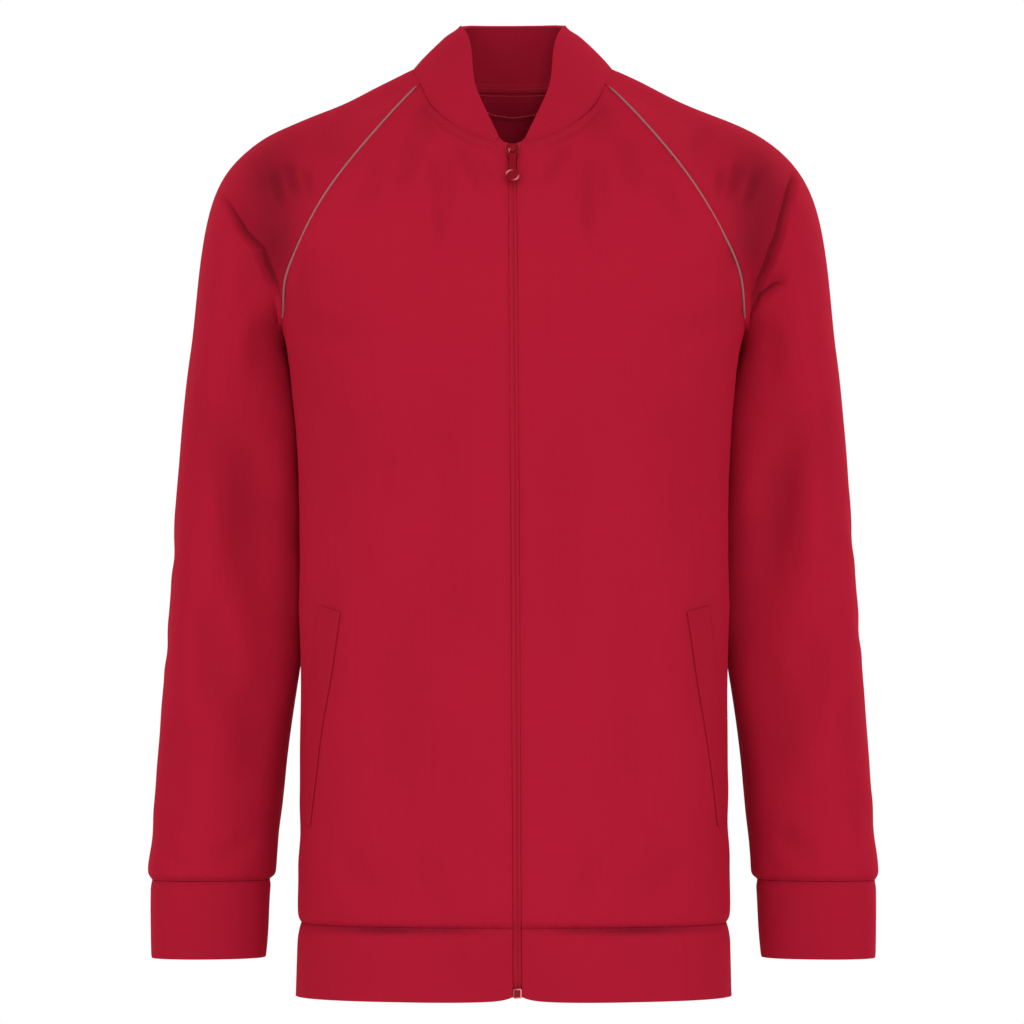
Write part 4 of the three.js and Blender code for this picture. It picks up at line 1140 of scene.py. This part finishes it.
@dataclass
class PocketWelt(ClothPiece):
    """A folded welt over a slanted pocket mouth, laid on its creased front panel.

    Args:
        long: its length, in mm.
        wide: its width, in mm.
        lift: how far it lies above the panel, in mm.
        thick: the thickness of its folded cloth, in mm.
        off: how far in front of its plane the search for the panel begins, in mm.
        face: how far the panel turns to the side where it lies, in degrees.
        top: the upper end of its front edge as seen from the front, in mm.
        end: the lower end of that edge.
        tone: how dark the painted shade over the whole welt is, from 0 to 1.
    """

    long: float = 169.0
    wide: float = 24.0
    lift: float = 0.3
    thick: float = 1.2
    off: float = 14.0
    face: float = 58.0
    top: tuple[float, float] = (132.0, -420.5)
    end: tuple[float, float] = (149.5, -588.5)
    tone: float = 0.09

    def build(self, number: int, outward: Outward, others: BVHTree) -> None:
        """Makes the welt on its finished front panel; the arguments are those of any cloth piece."""
        side = 1 if "left" in self.node else -1
        panel = object_tree([bpy.data.objects[self.node.replace("pocket_welt", "front") + "_cloth"]])
        shape = bmesh.new()
        bmesh.ops.create_grid(shape, x_segments=8, y_segments=52, size=0.5)
        place = self.place(panel, side)
        inward = place.to_3x3() @ Vector((0, 1, 0))
        for vert in shape.verts:
            spot = Vector((side * (vert.co.x + 0.5) * self.wide, -self.off, vert.co.y * self.long)) * MM
            hit = panel.ray_cast(place @ spot, inward, 40 * MM)[0]
            if hit is None:
                hit = panel.find_nearest(place @ spot + inward * self.off * MM)[0]
            vert.co = hit - inward * self.lift * MM
        inner = [v for v in shape.verts if not v.is_boundary]
        for _ in range(2):
            bmesh.ops.smooth_vert(
                shape, verts=inner, factor=0.5, use_axis_x=True, use_axis_y=True, use_axis_z=True
            )
        if side < 0:
            bmesh.ops.reverse_faces(shape, faces=shape.faces)
        mesh = poured(shape, self.node + "_sheet")
        sheet = placed(self.node + "_sheet", mesh)
        fold = sheet.modifiers.new("fold", "SOLIDIFY")
        fold.thickness = self.thick * MM
        fold.offset = 1.0
        edge = sheet.modifiers.new("edge", "BEVEL")
        edge.width = 0.55 * MM
        edge.segments = 3
        fine = evaluated(sheet)
        fine.name = self.node + "_cloth"
        self.made = placed(self.node + "_cloth", fine)
        self.lay_cloth_pattern(fine)
        # Painted shade, even over the whole welt.
        set_painted_shade_amount(fine, np.full(len(fine.vertices), self.tone))

    def place(self, panel: BVHTree, side: int) -> Matrix:
        """Where the welt's own plane lies: its front edge along Z, its width along X, inwards along Y."""
        middle = Vector((side * (self.top[0] + self.end[0]) / 2, -300, (self.top[1] + self.end[1]) / 2)) * MM
        beside = middle + Vector((side * 8 * MM, 0, 0))
        spot = Vector((middle.x, panel.ray_cast(beside, Vector((0, 1, 0)))[0].y, middle.z))
        aside = (self.end[0] - self.top[0]) / math.cos(math.radians(self.face))
        lean = math.atan2(aside, self.top[1] - self.end[1])
        turn = Matrix.Rotation(side * math.radians(self.face), 4, "Z") @ Matrix.Rotation(-side * lean, 4, "Y")
        return Matrix.Translation(spot) @ turn


CLOTH = (
    ClothPiece("front_left", "jersey", (0.27, 0.71), 0.15),
    ClothPiece("front_right", "jersey", (0.27, 0.71), 0.15),
    ClothPiece("back", "jersey", (0.46, 0.66), 0.238),
    ClothPiece("sleeve_left", "jersey", (0.4, 0.72), 0.207),
    ClothPiece("sleeve_right", "jersey", (0.4, 0.72), 0.207),
    Collar("collar", "double_knit", (0.42, 0.065), 0.0178, Held.FOLDED),
    ClothPiece("cuff_left", "double_knit", (0.245, 0.063), None, Held.FOLDED),
    ClothPiece("cuff_right", "double_knit", (0.245, 0.063), None, Held.FOLDED),
    ClothPiece("waistband", "double_knit", (0.9, 0.0585), None, Held.FOLDED),
    PocketWelt("pocket_welt_left", "jersey", (0.048, 0.171), 0.0041, Held.FOLDED),
    PocketWelt("pocket_welt_right", "jersey", (0.048, 0.171), 0.0041, Held.FOLDED),
    ClothPiece("back_neck_facing", "jersey", (0.085, 0.024), 0.0015, Held.HUNG, 2, 0.0, 2.0, 0.8),
    ClothPiece("back_neck_tape", "double_knit", (0.11, 0.011), None, Held.FOLDED, 2, 0.0, 2.0, 0.8),
    ClothPiece("zip_tape_left", "zip_tape", (0.0115, 0.66), None, Held.HUNG, 2, 0.0, 2.0, 0.9),
    ClothPiece("zip_tape_right", "zip_tape", (0.0115, 0.66), None, Held.HUNG, 2, 0.0, 2.0, 0.9),
)


@dataclass
class ZipChain:
    """The closed chain, seen from behind its coils: two folded tape edges that roll down to a groove.

    Args:
        node: its CAD node.
        cuts: how often its face is divided across.
        half: half its width, in mm.
        solid_half: half the width of its solid, in mm.
        crossing: how far an edge reaches sideways at least, where it runs across the solid, in mm.
        groove: how deep the groove is, in mm.
        droop: how far its outer edges roll back, in mm.
        tuck: how far its lower end runs into the foot box, in mm.
        line: how dark the painted shade in the line beside the groove is, from 0 to 1.
        line_at: how far that line lies from the middle, in mm.
        line_wide: half its width, in mm.
    """

    node: str = "zip_chain"
    cuts: int = 9
    half: float = 3.45
    solid_half: float = 3.0
    crossing: float = 4.0
    groove: float = 0.7
    droop: float = 0.2
    tuck: float = 2.0
    line: float = 0.5
    line_at: float = 0.5
    line_wide: float = 0.55

    def build(self, dyes: Dyes) -> None:
        """Makes and dresses the chain."""
        shape = merged(self.node)
        across = [e for e in shape.edges if abs(e.verts[0].co.x - e.verts[1].co.x) > self.crossing * MM]
        rows = sorted((e.verts[0].co.z, (e.verts[0].co.x + e.verts[1].co.x) / 2) for e in across)
        heights, middles = np.array(rows).T
        bmesh.ops.subdivide_edges(shape, edges=across, cuts=self.cuts, use_grid_fill=True)
        shape.normal_update()
        for vert in shape.verts:
            middle = np.interp(vert.co.z, heights, middles)
            share = (vert.co.x - middle) / (self.solid_half * MM)
            vert.co.x = middle + share * self.half * MM
            if vert.normal.y < -0.3:
                closed = float(smooth((vert.co.z - heights[0]) / (8 * MM)))
                sink = self.groove * closed * math.exp(-((share / 0.22) ** 2)) + self.droop * share**4
                vert.co.y += sink * MM
            if vert.co.z < heights[0] + 0.2 * MM:
                vert.co.z -= self.tuck * MM
        mesh = poured(shape, "zip_chain_coil")
        at = positions(mesh)
        aside = at[:, 0] - np.interp(at[:, 2], heights, middles)
        pattern = np.stack([aside, at[:, 2]], axis=1)[column(mesh.loops, "vertex_index")]
        mesh.uv_layers.new(name="cloth").data.foreach_set("uv", pattern.ravel())
        # Painted shade: a dark line just beside the groove.
        set_painted_shade_amount(mesh, self.line * np.exp(-((aside / MM - self.line_at) / self.line_wide) ** 2))
        made = placed("zip_chain_coil", mesh)
        dressed(made, dyes["zip_chain"], node=self.node)


def evened(made: Object) -> Object:
    """Weights an object's normals by its faces, so that its flats look flat."""
    made.modifiers.new("even", "WEIGHTED_NORMAL").keep_sharp = False
    return made


def rounded(shape: BMesh, edges: list[BMEdge], width: float) -> dict[str, list]:
    """Rounds some edges to this width, and gives what the bevel made."""
    return bmesh.ops.bevel(
        shape, geom=edges, offset=width, offset_type="OFFSET", affect="EDGES", segments=2, profile=0.5,
        material=-1, clamp_overlap=True,
    )


@dataclass
class Fittings:
    """The castings that stay on the zip: its slider and foot box.

    Args:
        bevel: how wide the rounded edges of the castings are, in mm; their middles carry painted highlights.
        rim: how wide the rim round the face of the box is, in mm.
        sunk: how deep the face of the box lies behind its rim, in mm.
    """

    bevel: float = 0.26
    rim: float = 0.85
    sunk: float = 0.6

    def casting(self, node: str) -> Object:
        """Makes a casting in the shape of its CAD node, with rounded edges that carry painted highlights."""
        shape = bmesh.new()
        shape.from_mesh(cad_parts[node].data)
        painted_glint = shape.verts.layers.float.new("painted_glint")
        spans = [(min(v.co[i] for v in shape.verts), max(v.co[i] for v in shape.verts)) for i in (0, 2)]
        bmesh.ops.remove_doubles(shape, verts=shape.verts, dist=0.01 * MM)
        bmesh.ops.dissolve_limit(
            shape, angle_limit=0.02, verts=shape.verts, edges=shape.edges, use_dissolve_boundaries=False
        )
        if node == "zip_box":
            face = max((f for f in shape.faces if f.normal.y < -0.8), key=lambda f: f.calc_area())
            ring = bmesh.ops.inset_region(
                shape, faces=[face], thickness=self.rim * MM, depth=0.0, use_even_offset=True
            )
            # Painted highlight round the rim of the box's face.
            for vert in {v for f in ring["faces"] for v in f.verts}:
                vert[painted_glint] = self.glint(node, vert.co, spans)
            bmesh.ops.inset_region(shape, faces=[face], thickness=0.15 * MM, depth=-self.sunk * MM)
            for vert in face.verts:
                vert[painted_glint] = 0.0
        edges = [e for e in shape.edges if len(e.link_faces) == 2 and e.calc_face_angle(0) > 0.6]
        cut = rounded(shape, edges, self.bevel * MM)
        bevelled = set(cut["faces"])
        # Painted highlight along the middle of each rounded edge.
        for vert in cut["verts"]:
            if vert.is_valid and all(f in bevelled for f in vert.link_faces):
                vert[painted_glint] = self.glint(node, vert.co, spans)
        mesh = poured(shape, node + "_casting")
        return evened(placed(node + "_casting", mesh))

    @staticmethod
    def glint(node: str, at: Vector, spans: list[tuple[float, float]]) -> float:
        """How bright the painted highlight on an edge is, from 0 to 1: round the box, and on the slider's
        shoulders.
        """
        aside, rise = ((at[i] - low) / (high - low) for i, (low, high) in zip((0, 2), spans))
        if node == "zip_box":
            return 0.2 if aside < 0.2 else 0.7
        return 0.85 if rise > 0.7 and abs(aside - 0.5) > 0.3 else 0.08

    def build(self, dyes: Dyes) -> None:
        """Makes and dresses the fittings."""
        for node in ("zip_slider", "zip_box"):
            dressed(self.casting(node), dyes["zip_fittings"], node=node)


@dataclass
class PullTab:
    """The pull tab: an eye on the slider's bridge, a flat neck and a bare disc in a round rim.

    Args:
        pivot: the middle of its bar, in mm.
        slope: how far it hangs forward of upright, in degrees.
        eye: the width of the eye, in mm.
        drop: the height of the eye's opening, in mm.
        leg: the thickness of the eye's sides, in mm.
        neck: the width of the neck, in mm.
        reach: how far the middle of the disc lies from the bar, in mm.
        ring: the outer radius of the rim, in mm.
        wire: half the thickness of the rim, in mm.
        thick: the thickness of the eye, in mm.
        edge: how far its edges are rounded, in mm.
        lit: how bright the painted highlight on the upper left of the eye is, from 0 to 1.
    """

    pivot: tuple[float, float, float] = (-0.94, -83.82, -65.75)
    slope: float = 36.3
    eye: float = 6.2
    drop: float = 4.0
    leg: float = 1.2
    neck: float = 5.6
    reach: float = 25.6
    ring: float = 5.7
    wire: float = 0.8
    thick: float = 1.2
    edge: float = 0.22
    lit: float = 0.6

    def block(
        self, shape: BMesh, size: tuple[float, float, float], at: float, side: float = 0.0
    ) -> None:
        """Adds a bar with rounded edges.

        Args:
            shape: the mesh.
            size: its width, depth and height, in mm.
            at: the height of its middle, in mm.
            side: how far its middle lies to the side, in mm.
        """
        place = Matrix.Translation((side, 0, at)) @ Matrix.Diagonal((*size, 1.0))
        made = bmesh.ops.create_cube(shape, size=1.0, matrix=place)
        rounded(shape, list({e for v in made["verts"] for e in v.link_edges}), self.edge)

    def rim(self, shape: BMesh) -> None:
        """Spins the rim."""
        centre = Vector((0, 0, -self.reach))
        place = Matrix.Translation(centre + Vector((self.ring - self.wire, 0, 0)))
        wire = bmesh.ops.create_circle(shape, cap_ends=False, segments=12, radius=self.wire, matrix=place)
        geom = wire["verts"] + list({e for v in wire["verts"] for e in v.link_edges})
        bmesh.ops.spin(
            shape, geom=geom, cent=centre, axis=(0, 1, 0), angle=2 * math.pi, steps=44, use_merge=True
        )

    def disc(self, shape: BMesh) -> None:
        """Lays the bare disc in the rim."""
        turn = Matrix.Translation((0, 0, -self.reach)) @ Matrix.Rotation(math.pi / 2, 4, "X")
        inner = self.ring - self.wire
        bmesh.ops.create_cone(
            shape, cap_ends=True, segments=44, radius1=inner, radius2=inner, depth=0.6, matrix=turn
        )

    def glint(self, at: Vector) -> float:
        """How bright the painted highlight is at a point of the rim, from 0 to 1: along two arcs of its
        front.
        """
        arc = math.cos(math.atan2(at.z + self.reach, at.x) - math.radians(135)) ** 6
        return 0.62 * arc if at.y < -self.wire * 0.3 else 0.0

    def build(self, dyes: Dyes) -> None:
        """Makes and dresses the tab."""
        shape = bmesh.new()
        painted_glint = shape.verts.layers.float.new("painted_glint")
        self.rim(shape)
        # Painted highlights along two arcs of the rim.
        for vert in shape.verts:
            vert[painted_glint] = self.glint(vert.co)
        self.disc(shape)
        long = self.reach - self.ring - self.drop + self.wire
        self.block(shape, (self.neck, 1.0, long), -self.drop - long / 2)
        for side in (-1, 1):
            aside = side * (self.eye - self.leg) / 2
            self.block(shape, (self.leg, self.thick, self.drop + 1.0), -self.drop / 2, aside)
        for at in (0.0, -self.drop - 0.4):
            self.block(shape, (self.eye, self.thick, self.thick), at)
        # Painted highlight on the upper left of the eye.
        for vert in shape.verts:
            if vert.co.z > -self.drop + 0.3 and vert.co.x < -self.eye / 4:
                vert[painted_glint] = self.lit
        bmesh.ops.recalc_face_normals(shape, faces=shape.faces)
        pivot = Matrix.Translation(Vector(self.pivot) * MM)
        place = pivot @ Matrix.Rotation(-math.radians(self.slope), 4, "X") @ Matrix.Scale(MM, 4)
        bmesh.ops.transform(shape, matrix=place, verts=shape.verts)
        mesh = poured(shape, "pull_tab_casting")
        made = evened(placed("pull_tab_casting", mesh))
        dressed(made, dyes["zip_fittings"], "pull_tab", "pull_tab")


@dataclass(frozen=True)
class StitchRow:
    """One row of machine stitches, drawn as it is seen and laid on the cloth behind it.

    Args:
        facing: the side of the jacket it is drawn on.
        path: its points in mm, sideways and height.
        begin: how far out from the jacket's middle the search for the cloth begins, in mm.
        pitch: the distance from one stitch to the next, in mm.
        long: the length of a stitch, in mm.
        thread: half the thickness of its thread, in mm.
        painted_stitch_light: how strongly painted highlight lightens its thread towards a light pink, from 0
            to 1.
    """

    facing: Facing
    path: Path
    begin: float = 300.0
    pitch: float = 3.0
    long: float = 2.3
    thread: float = 0.17
    painted_stitch_light: float = 0.0

    def stitches(self) -> list[tuple[np.ndarray, np.ndarray]]:
        """The two ends of each stitch, sideways and height in mm."""
        path = np.array(self.path, float)
        lengths = np.linalg.norm(np.diff(path, axis=0), axis=1)
        starts = np.concatenate([[0.0], np.cumsum(lengths)])
        first = np.arange(0.3, starts[-1] - self.long, self.pitch)
        ends = (
            np.stack([np.interp(run, starts, side) for side in path.T], axis=1)
            for run in (first, first + self.long)
        )
        return list(zip(*ends))


BACK_NECK = ((-58, -14), (-40, -17.6), (-20, -19.2), (0, -19.6), (20, -19.2), (40, -17.6), (58, -14))
FACING_HEM = ((-42, -15), (-30, -25.5), (-16, -31.8), (0, -34), (16, -31.8), (30, -25.5), (42, -15))
TAPE_ROW = ((-36, -10.2), (-20, -11.6), (0, -12), (20, -11.6), (36, -10.2))
BAR_TACKS = (((134, -422.6), (147, -420.4)), ((151, -587), (161, -584.6)))
STITCH_ROWS = (
    # The last number of a row is the painted highlight in its thread; it is strongest inside the back neck.
    StitchRow(FRONT, NECK_STITCHES, 300.0, 3.0, 2.3, 0.22, 0.06),
    StitchRow(FRONT, mirrored(NECK_STITCHES), 300.0, 3.0, 2.3, 0.22, 0.06),
    StitchRow(BACK, BACK_NECK),
    StitchRow(FRONT, FACING_HEM, 0.0, 2.6, 2.2, 0.34, 0.8),
    StitchRow(FRONT, TAPE_ROW, 0.0, 2.6, 2.2, 0.26, 0.25),
    StitchRow(FRONT, lowered(TAPE_ROW, 5.4), 0.0, 2.6, 2.2, 0.34, 0.4),
    *(
        StitchRow(FRONT, path, 300.0, 1.0, 1.3, 0.12)
        for tack in BAR_TACKS
        for path in (tack, mirrored(tack))
    ),
)


@dataclass
class Topstitching:
    """The rows of stitches that show: along the neck seam, the tape, the facing's hem and the pocket welts.

    Args:
        rows: the rows.
        proud: how far the middle of a thread stands off the cloth, as a share of half its thickness.
    """

    rows: tuple[StitchRow, ...] = STITCH_ROWS
    proud: float = 0.45

    def build(self, cloth: Sequence[Object], dyes: Dyes) -> None:
        """Lays every row on the finished cloth."""
        skin = object_tree(cloth)
        shape = bmesh.new()
        painted_stitch_light = shape.verts.layers.float.new("painted_stitch_light")
        for row in self.rows:
            inward = -Vector(row.facing.value)
            begin = -inward * row.begin * MM
            for ends in row.stitches():
                hits = [skin.ray_cast(begin + Vector((x, 0, z)) * MM, inward, 0.5) for x, z in ends]
                if any(hit[0] is None for hit in hits):
                    continue
                if (hits[1][0] - hits[0][0]).length > 2 * row.long * MM:
                    continue
                normal = (hits[0][1] + hits[1][1]).normalized()
                if normal.dot(inward) > 0:
                    normal.negate()
                # Painted highlight of the row, kept at each stitch's points.
                for vert in self.stitch(shape, (hits[0][0], hits[1][0]), normal, row.thread * MM):
                    vert[painted_stitch_light] = row.painted_stitch_light
        mesh = poured(shape, "topstitching")
        dressed(placed("topstitching", mesh), dyes["thread"])

    def stitch(
        self, shape: BMesh, ends: tuple[Vector, Vector], normal: Vector, radius: float
    ) -> list[BMVert]:
        """Adds one stitch.

        Args:
            shape: the mesh of all the stitches.
            ends: where it goes into the cloth, and where it comes out.
            normal: the way the cloth under it faces.
            radius: half the thickness of its thread, in metres.

        Returns:
            Its points.
        """
        start, end = ends
        along = (end - start).normalized()
        side = along.cross(normal).normalized()
        half = (end - start).length / 2
        place = Matrix((side * radius, side.cross(along) * radius, along * half)).transposed().to_4x4()
        place.translation = (start + end) / 2 + normal * radius * self.proud
        made = bmesh.ops.create_uvsphere(shape, u_segments=6, v_segments=4, radius=1.0, matrix=place)
        return made["verts"]


@dataclass
class Piping:
    """The satin-covered cord sewn into each front raglan seam.

    Args:
        nodes: the two CAD nodes.
        sunk: how deep the seam holds the cord, in mm.
        wave: how far the cord wanders to each side, in mm.
    """

    nodes: tuple[str, str] = ("piping_left", "piping_right")
    sunk: float = 0.35
    wave: float = 0.5

    def build(self, dyes: Dyes, names: list[str], outward: Outward) -> None:
        """Makes and dresses both cords; the names are the cloth nodes in the order they were gathered."""
        for node in self.nodes:
            shape = merged(node)
            mesh = poured(shape, node + "_cord")
            self.follow(mesh, names.index(node.replace("piping", "front")), outward)
            made = placed(node + "_cord", mesh)
            divided(made, 2)
            dressed(made, dyes["piping"], node=node)

    def follow(self, mesh: Mesh, panel: int, outward: Outward) -> None:
        """Takes the cord down into the seam, with the creases of the cloth beside it.

        Args:
            mesh: the cord.
            panel: the place of its front panel among the cloth nodes.
            outward: the way the cloth faces.
        """
        at = positions(mesh)
        way = outward.at(panel, at / MM)
        depth, _ = creased(at / MM, way)
        at = at - way * ((depth * (1 - SEAM_HOLD) + self.sunk) * MM)[:, None]
        height = at[:, 2] / MM
        at[:, 0] += (np.sin(height * 0.16) + np.sin(height * 0.29 + at[:, 0] * 9)) * self.wave * MM
        set_positions(mesh, at)


@dataclass
class Studio:
    """The pale floor, the soft lights and the camera.

    Args:
        distance: how far the camera stands from the jacket, in metres.
        width: how much of the jacket's plane the camera takes in, in metres.
        aim: the point at the middle of the view, in metres.
        daylight: how strongly the white surroundings light the jacket.
    """

    distance: float = 6.0
    width: float = 0.7987
    aim: tuple[float, float, float] = (-0.0012, 0.0, -0.3448)
    daylight: float = 0.66

    def build(self) -> None:
        """Sets up the studio."""
        self.floor()
        self.lights()
        self.camera()

    def floor(self) -> None:
        """Lays the floor."""
        shape = bmesh.new()
        bmesh.ops.create_grid(shape, x_segments=1, y_segments=1, size=4.0)
        bmesh.ops.translate(shape, verts=shape.verts, vec=(0, 0, -1.05))
        mesh = poured(shape, "studio_floor")
        floor = placed("studio_floor", mesh)
        recipe = Recipe("pale_floor")
        solid = recipe.solid()
        cloud = recipe.noise(solid, 1.5, 2.0)
        colour = recipe.mix(cloud, rgba(0.8, 0.8, 0.8), rgba(0.84, 0.84, 0.84))
        mesh.materials.append(recipe.finish({"Base Color": colour, "Roughness": 0.8}))

    def lights(self) -> None:
        """Hangs the lights."""
        world = bpy.data.worlds.new("studio")
        world.use_nodes = True
        sky = world.node_tree
        paper = sky.nodes["Background"]
        paper.inputs["Color"].default_value = rgba(1, 1, 1)
        rays = sky.nodes.new("ShaderNodeLightPath")
        strength = sky.nodes.new("ShaderNodeMapRange")
        strength.inputs["To Min"].default_value = self.daylight
        strength.inputs["To Max"].default_value = 1.0
        sky.links.new(rays.outputs["Is Camera Ray"], strength.inputs["Value"])
        sky.links.new(strength.outputs["Result"], paper.inputs["Strength"])
        bpy.context.scene.world = world
        bpy.context.scene.view_settings.view_transform = "Standard"
        lamps = (
            ("key_light", (-2.7, -5.0, 2.0), 1.8, 46.0),
            ("fill_light", (2.7, -4.9, 1.5), 2.0, 34.0),
            ("left_light", (-5.3, -1.9, 0.8), 2.0, 30.0),
            ("right_light", (5.3, -1.9, 0.8), 2.0, 28.0),
            ("front_light", (0.3, -6.4, -0.1), 1.0, 90.0),
            ("top_light", (0.2, -3.4, 3.6), 2.0, 24.0),
            ("back_key_light", (4.4, 3.4, 2.0), 1.8, 95.0),
            ("back_fill_light", (-4.2, 3.8, 1.2), 2.0, 45.0),
        )
        for name, where, size, power in lamps:
            lamp = bpy.data.lights.new(name, "AREA")
            lamp.shape = "SQUARE"
            lamp.size = size
            lamp.energy = power
            held = placed(name, lamp)
            held.location = where
            look = Vector(self.aim) - Vector(where)
            held.rotation_euler = look.to_track_quat("-Z", "Y").to_euler()

    def camera(self) -> None:
        """Sets the camera at the photograph's angle."""
        lens = bpy.data.cameras.new("photo_camera")
        lens.sensor_width = 36.0
        lens.sensor_fit = "HORIZONTAL"
        lens.lens = 36.0 * self.distance / self.width
        lens.clip_end = 100.0
        held = placed("photo_camera", lens)
        held.location = (self.aim[0], self.aim[1] - self.distance, self.aim[2])
        held.rotation_euler = (math.pi / 2, 0.0, 0.0)
        bpy.context.scene.camera = held


def finishes() -> Dyes:
    """The finish of each material slot."""
    return {
        "jersey": KnitFinish("jersey", (0.342, 0.0082, 0.0252)).make(),
        "double_knit": KnitFinish("double_knit", (0.335, 0.0082, 0.0252), wale=0.7, course=0.62).make(),
        "zip_tape": WovenTapeFinish("zip_tape", (0.31, 0.006, 0.019)).make(),
        "zip_chain": CoilFinish("zip_chain", (0.37, 0.0085, 0.0235)).make(),
        "zip_fittings": LacquerFinish("zip_fittings", (0.2, 0.002, 0.008), (0.95, 0.3, 0.33)).make(),
        "piping": CordFinish("piping", (0.28, 0.098, 0.1)).make(),
        "thread": ThreadFinish("thread", (0.33, 0.0065, 0.023)).make(),
    }


def main() -> None:
    """Builds the jacket's looks, piece by piece."""
    logging.basicConfig(level=logging.INFO, format="%(name)s: %(message)s")
    dyes = finishes()
    Studio().build()
    names = [piece.node for piece in CLOTH]
    outward = Outward()
    outward.gather(names)
    for number, piece in enumerate(CLOTH):
        others = object_tree([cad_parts[name] for name in names if name != piece.node])
        piece.build(number, outward, others)
        piece.dress(dyes)
    ZipChain().build(dyes)
    Fittings().build(dyes)
    PullTab().build(dyes)
    Piping().build(dyes, names, outward)
    Topstitching().build([piece.made for piece in CLOTH], dyes)


if __name__ == "__main__":
    main()
